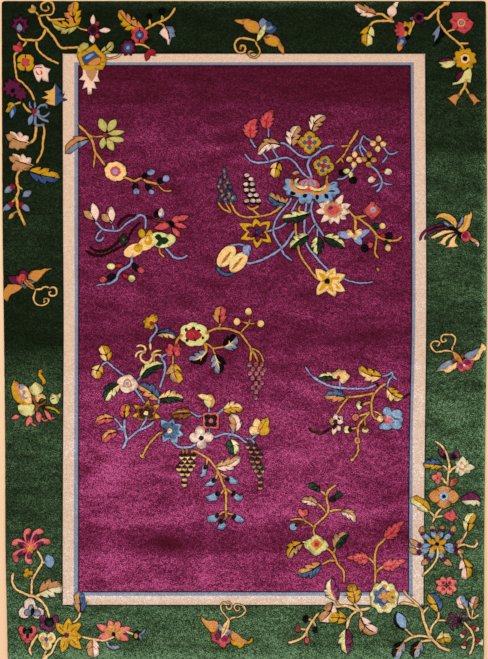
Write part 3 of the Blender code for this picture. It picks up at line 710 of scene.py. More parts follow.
def fieldLeft():
    vines("maroon", (1.3, 117.6,226, 121,220.4, 126,216.6, 131,215.4, 138,215.6),
        (1.7, 146,216, 150,217.8, 156,221, 162,221.8, 170,222))
    vine("brown", 0.9, 152,219.8, 158,221.4, 166,221.6)
    vines("maroon", (1.1, 90,247, 95,250.4, 102,250.6, 110,248, 117,243, 121.4,238),
        (1.1, 86,251, 93,255, 101,255.8, 110,252.2, 119,247.8, 126,243.2, 130,235, 134,228.4, 140,222.4))
    vine("brown", 0.8, 96,253.2, 104,253, 112,249.4)
    flower(123.4,239.4, 4, 0, ("pine", 5.4, -0.3), ("brown", 1))
    fan("fawn", 7, 94.6,220, 92.6,203, 83.2,210.2)
    petal("shell", 8.6, 96.2,221.6, 92.8,202.8, 1.2)
    vine("black", 0.9, 91.4,206, 90.4,211.4, 92.6,216.6, 95.4,221.4)
    fan("fawn", 7, 111,222, 109.6,206.2, 101,214.2)
    petal("shell", 7.6, 111.6,223.4, 110.8,206.2, 1.2)
    vine("black", 0.9, 109,208.4, 107.8,213.6, 109,217.8, 112,222.6)
    vines("lilac",
        (2.2, 95.4,221.6, 98.6,225.4, 102.6,229, 108,230.4, 114.5,230.8, 118.5,230.4, 122,228, 126.4,223.6,
        131,220.6, 135.8,218, 138.6,215.4, 142.4,215.2, 145.4,218.4, 145.8,223, 145,228.6),
        (1.8, 112,225, 113.6,230), (2, 102,229.6, 98.6,233, 96,238, 97.4,240.6, 101.4,240.2, 103.8,236.8))
    fan("black", 4.4, 158.4,217.4, 157.8,209, 154.2,212.4)
    petal("shell", 5, 160.4,218, 161.6,207, 1)
    petal("lilac", 2.8, 161.6,218, 164,210.6, 1)
    petals("coral", (6.4, 171.6,221.2, 181,217, 1), (5.4, 176,219.2, 189.2,216.4, 0.9),
        (5, 173.6,223.4, 187.4,227.6, 1.1), (5.6, 171.8,227.4, 180.4,236.8, 1.3),
        (7, 170.6,225, 154,228, 0.9))
    oval("black", 171.8,224, 2.7,2.7)
    oval("gold", 141.6,233.4, 3.6,4.6, -12)
    petal("gold", 5.6, 147.6,240, 150.8,229, 1.2)
    ovals("apricot", (146.6,243.4, 9.4,6.4, -28), (133.6,250.4, 10.4,6.2, -24))
    oval("straw", 161,240, 11.4,7.6, 14)
    petal("straw", 11, 164,240.4, 176.4,238.2, 1)
    fan("pine", 7, 158,241, 158.6,233.6, 169,240.2, 160.4,246)
    ovals("gold", (138.3,248, 4.8,3.9, -35), (148.4,240.8, 3.8,4.4, 10))
    oval("apricot", 147.4,238.8, 1.6,2.2, 10)
    vine("amber", 2.2, 159.4,247.6, 160,253, 164.2,257)
    vines("lilac", (2.3, 165.4,248, 169,252, 173,256.6, 178,258.4, 183,257.8, 187.6,255.2),
        (2.5, 131.3,256.6, 131.4,263, 127,267, 121.6,270, 118,274, 116.4,279, 112,282.4, 106,284.2),
        (1.6, 106,284.2, 101,284.6, 96,285.6))
    petal("red", 4.2, 124,265.4, 114.6,266, 1.2)
    oval("straw", 111,266.3, 4.2,3)
    petal("black", 5.4, 131.6,262.6, 139,271.4, 1.2)
    oval("coral", 141,270.4, 3.5,2.9, 20)
    petal("black", 5.2, 116,274.4, 105.8,279.8, 1.2)
    oval("coral", 103,279.4, 3.5,2.9)
    petal("red", 4.4, 121.8,273, 129.4,279.4, 1.3)
    oval("straw", 131.7,278.4, 3.4,3.3)


def fieldGreatSprayTop():
    vines("lilac", (2.2, 250,138.6, 253,143.5, 256,147.6), (1.9, 260.6,150.6, 265,156, 269.2,161),
        (2, 268.3,128, 268.5,137), (1.8, 271.4,146.6, 275,153, 278.6,158.8))
    leaf(251,138.4, 253,119, 15.4, "coral", "coral", "red", -0.12, 4, 0.14)
    petal("coral", 4.4, 252,122.6, 257.6,119, 1)
    leaf(266,129, 270.4,111, 14.4, "coral", "coral", "red", -0.1, 4, 0.14)
    petal("coral", 4.4, 268.8,114, 273.4,110, 1)
    for across, down in ((251, 131), (266.4, 122.4)):
        vines("red", (0.9, across - 3.2, down + 1, across - 1.8, down - 2, across + 0.8, down - 2.4),
            (0.9, across - 1, down + 3.4, across + 1.8, down + 1.4, across + 3, down - 1.6),
            (0.8, across + 1.4, down - 5.4, across + 2.8, down - 7.6))
    leaf(280.4,144.6, 256.6,151.6, 12.6, "shell", "fawn", "black", 0.22, 3, 0.3)
    vines("lilac",
        (2.1, 244.6,154, 249,159, 253,161.8, 260,162.8, 268,161.8, 277,159.4, 284,157.6, 290,158.6,
        296,163.6, 300,169.6, 304.6,174.6, 310.6,178.6),
        (2.3, 280.6,142.8, 286,144, 290,147.4, 294,151, 299,155, 305,157, 311,156.8, 316,154, 322,149.6,
        328,146.8, 334.4,145.2),
        (1.5, 321.6,149.8, 319.4,146.4), (2.7, 311.8,156.4, 308.6,161, 307.6,166, 309.6,171, 312,178.4))
    leaf(291.6,146, 297.8,125.2, 14.4, "shell", "fawn", "black", -0.12, 3)
    leaf(311.8,131, 323.8,114.4, 14, "shell", "fawn", "black", -0.16, 3)
    for across, down, turn, long in ((309.5, 142.4, 0, 12.4), (323.6, 165.8, 14, 11.4)):
        for k in range(4):
            rosette("gold", 10, across, down, 0, long * 0.96, turn + 90 * k)
            rosette("gold", 5, across, down, 0, long * 0.86, turn + 90 * k - 27, turn + 90 * k + 27)
        rosette("denim", 4.8, across, down, 2,7.6, turn, turn + 90, turn + 180, turn + 270)
        oval("red", across, down, 2.6,2.5)
    leaf(278.4,162, 274,177.8, 12.4, "gold", "apricot", "black", 0.04, 2)
    petal("fawn", 3.8, 300,171.8, 291.6,173.6, 1)
    vines("amber", (2, 336,163.2, 340,159.4, 344,154.6, 348.4,147),
        (2.7, 348.4,147, 351,142, 355.4,136, 358.2,129.8), (2.1, 348.8,145.4, 344,146.2, 340.6,145.8),
        (1.8, 341,158.4, 343.6,162.8))


def fieldPeony():
    fans("sky", (7, 293,187.4, 282.4,187.6, 285.4,178.4, 286,195),
        (7.6, 329.6,188.6, 340.6,192.8, 337.6,181.8, 335,197), (8.6, 306,191.6, 300.4,204.4, 309.4,204),
        (8.6, 320.6,192.6, 318,203.4, 326,203.8, 333,200.6))
    patch("sky", 289.6,179.4, 300,186, 318,188, 330.4,183, 333.4,190, 326,197.6, 312,199, 298,197.4,
        290,194, 287.2,187)
    vine("orange", 4.4, 292.2,179.6, 291.8,186, 296,190.6, 303,191.8, 309.4,190, 314,192.8, 320,192.8,
        325.6,189.6, 327.8,183.6)
    petal("orange", 4.4, 326.8,188, 327.4,181.6, 1)
    oval("coral", 308.8,185, 11,6.6)
    vines("straw", (3, 298.4,178.6, 295.6,181, 297.4,185.4, 301.4,187.8, 307.4,186.6),
        (3, 310.2,187.2, 315.4,190.2, 321.4,189.4, 325.4,185.6))
    vines("brown", (0.9, 296.2,187.4, 301,189.8, 306.4,189.2), (0.9, 311.6,189.8, 317,191.8, 322.6,190.4))
    ovals("slate", (304.6,183.2, 3.8,2.8, -38), (312.8,183.2, 3.8,2.8, 38))
    vines("coral", (1.2, 303.4,185.4, 304.6,182.6, 306.4,181.2), (1.2, 314,185.4, 312.8,182.6, 311,181.2))
    for across, down, halfWide, turn in ((292.8, 193.2, 2.5, 20), (305, 195.8, 2.5, -20),
            (317.2, 197.2, 2.3, 75), (326.4, 196.2, 2.6, 60)):
        oval("black", across, down, halfWide, 1.8, turn)
    vines("black", (1.2, 330.6,184.8, 334.8,183.2), (1.2, 328.6,191, 335,191.2))
    vine("amber", 2.3, 327.8,175, 326.6,179, 326.6,184)
    fan("shell", 6.6, 333,210, 343.6,194.4, 350.8,204.4, 350,212.8, 346.6,219.4, 339,224.4, 330.6,224.4,
        321,222.4, 315.4,211.6, 318.4,203.4, 327,200.4)
    oval("shell", 333,210.4, 10.2,8.8)
    flower(333,209.6, 10, 0, ("fawn", 9.8, 0.16, 0.86))
    oval("coral", 333.2,209.8, 6.4,4.9)
    oval("plum", 330.6,207.8, 2.4,1.7)


def fieldGreatSprayRight():
    vines("lilac", (2, 363.4,135.6, 361,141, 359.6,144.2, 355.8,147, 353,152.4),
        (2, 360,144.4, 360.4,150, 363.2,156.8), (1.8, 361,144.6, 364,148.6, 367.6,153),
        (1.8, 363.4,135.6, 367,139, 373.2,142),
        (1.9, 383.4,146.6, 386.4,151, 388.4,153.6, 393,154, 398.6,151.2),
        (1.9, 388,154, 386.2,158, 382,162.8),
        (2.3, 370.4,165.8, 374.6,168.6, 378,172.6, 381,178, 382,181.8, 381.4,186, 379.6,189.2, 376.2,191.8),
        (1.7, 381,182, 377.4,184.8, 371.4,186.6), (1.7, 382.4,181.4, 386.8,184.2, 392.2,184.2),
        (2.1, 354,167, 351,172.2, 347,176, 343,178.4, 337,179))
    for across, down, dye, heart in ((378.3, 143.8, "apricot", "red"), (354.4, 159.6, "apricot", "red"),
            (369, 159.4, "orange", "pine")):
        for turn in range(4):
            angle = math.radians(90 * turn + 4)
            oval(dye, across + 4.9 * math.cos(angle), down + 5.1 * math.sin(angle), 3.1,2.7, 90 * turn + 4)
        oval(heart, across, down, 2,2.1)
    oval("black", 341.9,172.4, 2.9,2.8)
    oval("straw", 346.7,170.9, 3.3,2.3, -10)
    petal("straw", 4.6, 350.2,171.4, 352,178.6, 1.2)
    oval("black", 353.1,180, 3.5,3.4)
    oval("shell", 371.7,179.6, 3.9,2.8, -32)
    ovals("red", (375.6,175.2, 2.3,2.8, 20), (382.2,171.4, 2.9,1.8))
    oval("shell", 388.2,171.8, 3.8,3)
    vines("amber", (2.4, 347.4,209.2, 351.6,214, 354.6,216.8, 360,216.8, 366.4,215.8),
        (3.1, 354.6,216.8, 355.6,223, 355.2,230),
        (2.4, 357,217.2, 363,221.6, 369,226, 373.4,231, 376.4,234.8, 380,237.8, 386,240, 392.4,240.8,
        398.4,239.8, 401.8,236),
        (2.4, 376.3,235, 376.4,242, 375,250, 375.8,254.6, 378.4,258))
    oval("pine", 376,226, 4.1,2.8, -6)
    oval("apricot", 382.6,225.9, 3.3,2.8)
    petal("red", 3.8, 379,234.6, 386.4,236.6, 1.2)
    oval("black", 389,235.7, 3.4,3.2)
    oval("pine", 386.3,243, 2.2,3.2, -18)
    oval("apricot", 388,247.8, 2.8,3.3)
    petal("coral", 5.4, 373.4,243, 366.6,247, 1.3)
    oval("black", 364.9,248, 3.4,3.7, 20)
    flower(372.4,210.6, 4, 0, ("coral", 9.2, -0.2, 0.86))
    rosette("coral", 5.4, 372.4,210.6, 3,9.6, -88, 0, 90, 174)
    flower(372.9,209.6, 4, 45, ("orange", 2.9), ("sky", 2.2), ("slate", 1))
    oval("orange", 377.8,269.5, 2.1,1.2, 50)
    petals("lilac", (7.4, 354.6,236.6, 337,233.4, 1.3), (4, 354.6,236.6, 337.6,231.6, 1.2),
        (6.4, 354,238.4, 370.6,229.4, 1), (7.4, 353.6,234.6, 361.8,244.8, 1))
    fan("apricot", 5.6, 354.4,236.8, 346.6,229.8, 361.6,228.8, 353.6,239)
    oval("red", 353.4,231.8, 1.5,1.5)


def fieldBeadBunches():
    vines("amber", (2, 218,202, 220.4,206, 225,210, 231,212.6), (1.8, 225,202, 228,207, 231,211.4),
        (2.2, 230.2,202, 232.6,206.4, 235.4,211.4, 240,215.4, 247,217.2, 254,216.8, 262,216, 271,213.6,
        278,209, 284,203.6, 287.6,198.4),
        (2.2, 247,205.8, 250,208.6, 254.4,208.6, 258.8,205.8), (2.2, 251,208.6, 254.8,211.8, 260,216))
    beads("denim", 1.9, 224,169.4, 224.8,175, 220.6,179.6, 227.6,180, 218.8,184.4, 225,184.8, 230.2,187,
        220.6,189.6, 227.4,191, 223.6,193.6, 231.4,192.8, 220.6,196.8, 228,197.2, 234,196.4, 219,200.4,
        225.4,200.8, 231.4,200.4, 235.4,199.4)
    beads("orange", 1.15, 224.2,171.8, 224.8,177.4, 220.2,182, 227.4,182.4, 218.6,186.6, 225.4,187.2,
        221.8,191.2, 228.8,193.4, 222.4,195.4, 229.4,195.6, 225,198.6, 232.4,198)
    for across, down in ((247, 175), (251, 179), (246, 184), (252.4, 184), (246.2, 189.8), (252.7, 189.8),
            (250.2, 194.9), (256.2, 194.9), (246.8, 200.6), (253, 200.6), (258.6, 200.6)):
        oval("black", across - 0.3, down + 2, 2.4,1.4)
        oval("shell", across, down, 2.5,1.7)


def fieldGreatSprayLow():
    leaf(285.6,203.6, 267.8,195, 13, "denim", "fawn", "black", -0.1, 3)
    vines("lilac",
        (2.2, 291.5,197.6, 288,204, 281.4,211.4, 276,219.6, 273.4,228, 274,235, 277.6,242, 281.4,247.6,
        282.8,252.4, 286.6,256.8, 292,260.6),
        (2, 298,200, 294.4,206.4, 290.8,212.6), (2, 265,231.6, 270,230.6, 276,228.6, 282,226, 286.4,223),
        (2.5, 294.6,230.4, 290.6,236.6, 286.4,243, 281,248.6, 275,253, 267,257.4, 259,261, 250,263.2,
        245.6,262.6),
        (2.2, 306.4,203, 305.4,211.6, 304.6,222, 304.6,232, 306.4,243, 310,250, 316,257, 322,264,
        328.8,270.6),
        (2.2, 312.8,200.6, 311.2,208, 312.2,215, 314.6,221.6, 317.4,226, 320,230.4, 324,236),
        (1.8, 315.4,223.4, 311.4,229, 307.8,234), (1.8, 317.4,228, 317.4,237), (1.8, 311.6,209, 307,214))
    vines("amber", (2, 300.4,205.4, 298.4,211.6),
        (2.3, 295.6,221, 295.6,229, 296.6,236, 298,247, 299.8,253.6, 303.6,260.6, 309,268, 314.4,275.4,
        319.4,280.6))
    leaf(308.4,213.8, 282,219, 12, "pine", "straw", "black", -0.04, 3)
    fan("gold", 9.4, 258.3,232, 255.2,218, 270.6,221, 271.6,242.6, 256.6,248.4, 240.6,239.4, 238.8,223.4,
        fullest=0.5)
    fan("field", 6.2, 258.3,232, 255.8,223.6, 266.8,225, 267,238.6, 257.4,242.6, 246.8,236.4, 246,227.6,
        fullest=0.6)
    oval("denim", 258.2,232, 2.4,2.4)
    leaf(308.6,235.2, 289.6,247.8, 12.4, "pine", "straw", "black", 0.06, 3)
    leaf(318,236.8, 317.2,254.6, 12.6, "pine", "straw", "black", 0.02, 3)
    leaf(324,237, 345.2,246.6, 12.4, "straw", "pine", "black", -0.08, 3)
    for tipAcross, tipDown in ((315.4, 268.6), (335.4, 267.2), (346, 275.2), (345.4, 291.6), (335.6, 296.8),
            (316.4, 295)):
        petal("apricot", 10.4, 327.3,281.3, tipAcross, tipDown, 0.5)
        petal("gold", 4.2, 327.3,281.3, tipAcross * 0.75 + 81.8, tipDown * 0.75 + 70.3, 0.6)
    oval("gold", 327.4,281.3, 5,4.6)
    oval("black", 327.2,281.2, 2.8,2.8)
    vine("lilac", 1.8, 343,278.6, 350,281, 358,282.8, 366,283, 373,281.6)
    vine("denim", 3, 217,267, 220,271.4, 224.4,274.2, 229.4,274.6, 233.6,272.8)
    oval("apricot", 226.4,256.2, 12.4,7.4, -52)
    petal("straw", 5, 219.8,267.4, 235.6,248.6, 1)
    petal("orange", 3.6, 220.6,264.8, 231.6,251, 1)
    vine("brown", 0.8, 222.4,263.4, 226.4,257.4, 230,252.6)
    oval("apricot", 238.4,262.2, 12,7, -50)
    petal("straw", 4.6, 230.4,268.4, 243.4,252.8, 1)
    petal("orange", 3.4, 231,270.8, 243.4,256.2, 1)
    vine("brown", 0.8, 232.4,269.4, 237,263.4, 241.6,258)
    vine("lilac", 2, 229,245.4, 234,244.8, 240,244, 244.4,245.6)
    fan("lilac", 6.4, 243.4,245.4, 251.4,250, 248.6,256.4, 247,250)


def fieldLowerLeftTop():
    vine("lilac", 2.2, 154.6,323.6, 156.6,327.4, 156.2,331.4, 153.4,334.8, 151,338, 149.6,342.8)
    fan("gold", 6, 152,323.2, 142.6,321.4, 144.2,327.4, 150.6,329.6, 146.2,317.4, 152.6,313.8, 157.2,315.4)
    oval("red", 151.6,323.2, 2.1,2.1)
    leaf(157.2,334.2, 176,336, 9, "denim", "apricot", "black", -0.14, 3)
    flower(194.2,334.6, 7, 8, ("straw", 14.9, 0.12, 0.82))
    patch("red", 186,333.4, 191.4,327.6, 197,330.6, 202.2,334.6, 198,339.4, 190.6,340.8, 186.4,338.6)
    vine("coral", 0.8, 188.6,335, 191.6,332, 195,335.6)
    for across, down, halfWide, halfHigh in ((186.2, 329.8, 1.4, 2), (193.4, 328.2, 1.8, 1.6),
            (187.2, 340.2, 1.7, 1.6), (195, 339.8, 1.5, 1.5), (202.8, 337.8, 1.4, 1.4),
            (198.8, 330.6, 2, 0.8)):
        oval("pine" if halfHigh > 0.9 else "black", across, down, halfWide, halfHigh)
    vines("amber", (2.7, 183,335.4, 179.6,336.6, 177,341, 175.4,346.4),
        (2.4, 205.4,333.8, 210,331, 215,329, 222,328.4, 229,329, 236,331.6, 240.6,333.6, 244,338, 247.6,343,
        250.6,348, 251,353, 250.2,361),
        (1.8, 251,348, 255,350, 259,352, 261.6,356, 263.4,362), (2, 251,350.6, 254.8,354, 257.6,361.6),
        (2, 240.8,333, 243,329.6, 246.4,326.6, 249,323.6, 249.6,318.6), (2.2, 249,323.4, 243.6,322.2),
        (1.5, 249,323.6, 255.4,323.6), (2.2, 218.5,329, 220,326, 220.6,321.6))
    leaf(219.8,323.6, 221.2,305.8, 14.4, "orange", "coral", "black", -0.06, 2, 0.16)
    for across, down, capAcross, capDown in ((248.5, 311.4, 249.4, 316.4), (236.9, 321.6, 241.8, 321.6),
            (260.8, 323.6, 256.6, 323.2)):
        oval("red", capAcross, capDown, 1.7,1.7)
        oval("apricot", across, down, 3.3,3.6)
    for across, down in ((249.5, 364), (256.2, 363.6), (261.8, 363.6), (253.2, 368.4), (259.5, 368.4),
            (264.8, 369), (250.2, 372.6), (256.5, 373), (262.2, 373), (252.7, 377.5), (259.2, 377.5),
            (256.2, 382.5), (262, 382), (253, 386.8), (259.5, 386.8), (256.5, 391), (255.7, 397)):
        oval("slate", across - 0.2, down + 1.7, 2,1.3)
        oval("coral", across, down, 2.1,1.6)
    vines("amber", (2.9, 203.8,342.6, 206,347, 206.2,352.6),
        (2.2, 205.6,343.4, 210,345.6, 213,348.4, 219,347.6, 226,346.2), (2, 212.4,348, 215,354.6))
    leaf(224,347.4, 237,336.6, 15, "black", "slate", "apricot", 0.12, 3)
    leaf(214.6,354.6, 219.8,373.6, 14.4, "black", "slate", "apricot", -0.06, 3)
    leaf(206.4,351.6, 189.8,361.6, 13, "black", "slate", "apricot", -0.16, 3)


def fieldLowerLeftMiddle():
    vines("apricot", (2.3, 136.4,347.2, 140,345.2, 144,346.4, 145.6,350, 142.4,353.4),
        (2.3, 135.4,357.4, 137.2,353, 141,351.4, 145,352.4),
        (2.5, 142.4,353, 140.2,356, 141.6,360.2, 146,362.6, 150,361.2, 152.4,356.6, 151.4,352),
        (2.7, 150.2,343, 150.6,350), (2.3, 152.6,356, 154,352, 157.4,350.6, 161.4,350.6),
        (2.2, 153,358.4, 156,354.6, 160.2,355.2, 161.2,358), (1.9, 153.4,357, 154.6,361.6))
    oval("red", 150.4,352, 1.8,2)
    rosette("coral", 5.4, 173.6,350.5, 0,8.8, 182, 352, 38, 142, 230, 310)
    oval("red", 173.6,350.5, 2.2,1.6)
    vines("amber", (2, 172.6,355.4, 173,360, 172.6,364.6), (1.8, 172.4,364, 169.6,369, 166.2,374.2))
    leaf(173.8,363.8, 178.4,383.4, 15, "gold", "fawn", "brown", 0.08, 2)
    vine("maroon", 0.9, 176.4,369, 179.6,371.4)
    vine("lilac", 2.2, 166.6,354, 163,356.2, 161.6,358.6, 164.4,363, 165,370, 163.4,377, 161.6,382,
        159.8,388.4)
    leaf(140.2,378, 162,362.4, 12.4, "straw", "pine", "black", -0.14, 3)
    fan("shell", 12, 127.2,384, 117,380.6, 130.2,374.4, 138.4,386, 124.6,393.4)
    flower(127.4,383.6, 3, -90, ("fawn", 5.4, -0.26), ("shell", 2.5), ("slate", 1.9))
    leaf(107.4,361.2, 102.2,345.2, 12.4, "apricot", "gold", "black", 0.06, 2)
    leaf(100.6,365.4, 95,378.4, 12.4, "gold", "apricot", "black", 0.08, 2)
    vine("lilac", 2.2, 101,366, 104,363.6, 107.6,362.4, 111.6,366, 117,370.4, 124,375.6)
    leaf(119,384.2, 104.4,400, 13.4, "straw", "pine", "maroon", 0.12, 3)
    vines("lilac", (2, 136.4,381.4, 140.8,377), (2.2, 134.4,388.2, 139,394.6, 144.6,403))
    leaf(159,399.4, 138.8,384, 14, "orange", "denim", "black", 0.06, 3)
    leaf(158.6,399.4, 183.8,397.6, 13, "apricot", "pine", "black", -0.1, 4)
    vine("lilac", 2.2, 158.6,399, 158.4,404)


def fieldLowerLeftLow():
    fan("gold", 5, 146,413.2, 133.2,405.2, 148.6,400, 159.8,404.4, 160.6,417.6, 132.2,416.4)
    fan("brown", 9.4, 146,413.6, 136.4,407.8, 148.2,404, 156,407.8, 155.2,418.6, 137,419)
    fan("maroon", 6, 146,413.4, 138.8,409, 148,406, 154,408.8, 153.4,417.4, 139,417.6)
    oval("straw", 146,413.3, 2.1,2.1)
    vines("lilac", (2, 146.4,417.4, 145.4,421, 142,425.6, 139.8,430.4),
        (2.5, 153.6,421.8, 150,425, 144,428.4, 138.6,430.4, 133,435, 127,440.4),
        (2.5, 124.8,419.4, 124.4,425, 125,433, 126.4,440, 124.6,444.6, 122.4,449),
        (1.9, 114.2,418.2, 117.4,421.4, 121,426.4, 123.8,429.6), (2.5, 117.2,429.4, 121,428.8, 124.6,430.2))
    leaf(124.2,418, 126,403.4, 10.8, "coral", "gold", "black", -0.05, 2, 0.16)
    leaf(113.8,418.8, 94.6,422, 10, "coral", "orange", "black", 0.12, 2, 0.16)
    leaf(117.4,431.8, 101.6,441, 10.4, "coral", "orange", "black", 0.12, 2, 0.16)
    fan("sky", 7, 169.8,430.8, 160.6,419.4, 173,418.6, 182,424.6, 183.8,435.2, 177.2,443.6, 162.8,442.2)
    fan("denim", 6.6, 169.8,430.8, 163.4,422.8, 172.2,421.8, 178.6,426.4, 179.4,434, 175,439.8, 164.4,438.8)
    oval("apricot", 169.6,430.9, 2.3,2.2)
    vine("lilac", 2.4, 171,440, 174,443.6, 177.4,446.2, 181,447.4, 188,447.4, 192.4,446.4, 195.6,444)
    vines("amber", (2.3, 162.8,432, 157.6,434.6, 151.6,441, 146.8,447.6, 144,452.6, 142,455.8),
        (2.9, 139.8,455, 144.6,457.8))
    leaf(192.2,413, 171,414.8, 11.6, "brown", "brown", "black", 0.02, 4, 0.16)
    vine("orange", 0.8, 176,411.8, 188,411)
    vine("lilac", 2.1, 191.6,411.8, 195,415, 198.6,416.6, 202.2,415.6)
    flower(210.9,420.7, 4, 45, ("coral", 11.4, -0.3), ("black", 7.6, 0.42), ("coral", 2))
    vines("lilac", (2, 209,406.6, 209,413), (2.5, 217.4,414.2, 221,411, 223.8,409.2),
        (1.6, 209.4,428, 209.4,433.4))
    oval("orange", 209.8,401, 5,6.6, -8)
    petal("apricot", 5.4, 212.4,399.4, 196.8,394.8, 0.9)
    petal("straw", 6.6, 208.4,408, 206.6,396, 1.2)
    leaf(223.2,410, 242.8,407.6, 12.4, "apricot", "gold", "brown", -0.1, 3)
    leaf(235.2,431.6, 232.6,413.8, 12.8, "fawn", "shell", "brown", 0.12, 2, 0.16)
    vines("lilac",
        (2.2, 214.4,437.2, 219,435.6, 224,434, 230,434.4, 235,435.4, 240,438, 244,441, 247.6,443.6),
        (2, 233.6,429.8, 231.4,434.4), (1.8, 229,435, 229.4,439))
    leaf(230,439.6, 234.8,454.8, 13, "straw", "pine", "black", -0.06, 2, 0.2)
    fan("apricot", 9, 258.6,434.4, 249.2,427.6, 256.4,417.8)
    fan("gold", 9, 259.4,434.8, 268,417.2, 269.8,427)
    vines("brown", (0.9, 257.6,432.4, 259,424.4), (0.9, 258.8,431.6, 263,425.4, 266,420.4))
    vines("lilac", (1.9, 257.6,434, 253,437.8, 250,439, 245.8,438),
        (1.9, 250,438.6, 252.6,440.6, 254.6,443.6))
    rosette("shell", 10, 201.2,438, 0,12.8, 184, -100, -6)
    rosette("shell", 9.6, 201.2,438, 0,11.6, 86)
    rosette("shell", 5, 201.2,438, 0,10.8, -80, -120, 14, -26, 66, 106, 164, 204)
    oval("black", 201.3,438, 2.4,2.5)


def fieldBeadDrops():
    for across, down in ((183, 451.4), (186.8, 451.4), (192, 451.8)):
        vine("gold", 1.9, across, down - 2.4, across, down + 2)
    for down, places in ((456, (181.8, 187.4, 193.2)), (460, (184.5, 190.4)), (463.8, (181.6, 187.4, 193)),
            (467.8, (178.8, 184.6, 190.4)), (472.8, (181.8, 187.6)), (478, (184.6,)), (483.6, (184.3,))):
        for across in places:
            oval("apricot", across, down + 1.6, 2.5,1.9)
            oval("maroon", across, down - 0.7, 2.3,1.6)
    for across, down in ((247.8, 444.9), (254.8, 445.4), (251, 449.4), (257.2, 450), (254, 454.4),
            (260, 454.8), (252.2, 459.2), (257.8, 459.5), (254, 464.4), (260, 464.8), (256.5, 469),
            (262.5, 469.4), (259.6, 473.4), (260.5, 480), (260.5, 486)):
        oval("rose", across - 0.2, down + 2.2, 2.3,1.7)
        oval("pine", across, down - 0.2, 2.2,1.9)


def fieldHangingStem():
    vines("amber",
        (2.4, 192,450.6, 197,452, 203,455.6, 207.6,458.4, 211.6,462.4, 215,467, 217.8,471.8, 219.8,476,
        221.8,481, 224.4,487, 226,492.4, 226,500, 226,511, 226.2,517.6, 223.4,519.6),
        (2, 206.8,459, 206.8,465), (2, 216.8,471, 216.4,478.6), (2, 218,473, 222,474.6, 227.2,477.2),
        (2, 224.6,488, 221,494.4), (2, 226,488.4, 232.2,493.2), (2, 226,511.6, 222,512.6, 218.4,515.2),
        (2, 226.6,513, 230,513.8, 233.8,514.8))
    panels("sky", (203.8,465, 202,467, 202,472.6, 199,476, 201.6,477.4, 205,476, 207.2,469),
        (211.2,478.4, 209,481.4, 204.4,484.4, 205.6,486.4, 212.8,485.8, 215.4,483),
        (228.4,476.4, 232,476.2, 235,479.8, 239,479.6, 237.4,484.4, 230,483.2),
        (215,491.8, 210,495, 205.6,496.4, 208.6,501.2, 216.4,500.6, 218.8,496.6),
        (235.6,492.4, 239.8,496.4, 243.4,494.8, 242,500, 237.4,501.2, 232.8,496.4),
        (216.2,513.8, 206.6,516.4, 207.8,522, 215.6,522, 219.2,517.6),
        (236.8,514.2, 240.4,516.4, 244.8,521, 242,522.6, 236,522.2, 233,517),
        (223,521.4, 226.4,526.2, 223,530, 217,529.2, 219.8,522.6))
    for across, down in ((205.3, 467.4), (213.5, 480.5), (227.6, 478.9), (217.1, 493.9), (233.5, 494.2),
            (217, 515.8), (234, 516.6), (221.5, 521.8)):
        oval("black", across, down, 2,2.4, 15)
    leaf(216.2,467, 241,458, 12.8, "fawn", "shell", "brown", 0.1, 3, 0.28)


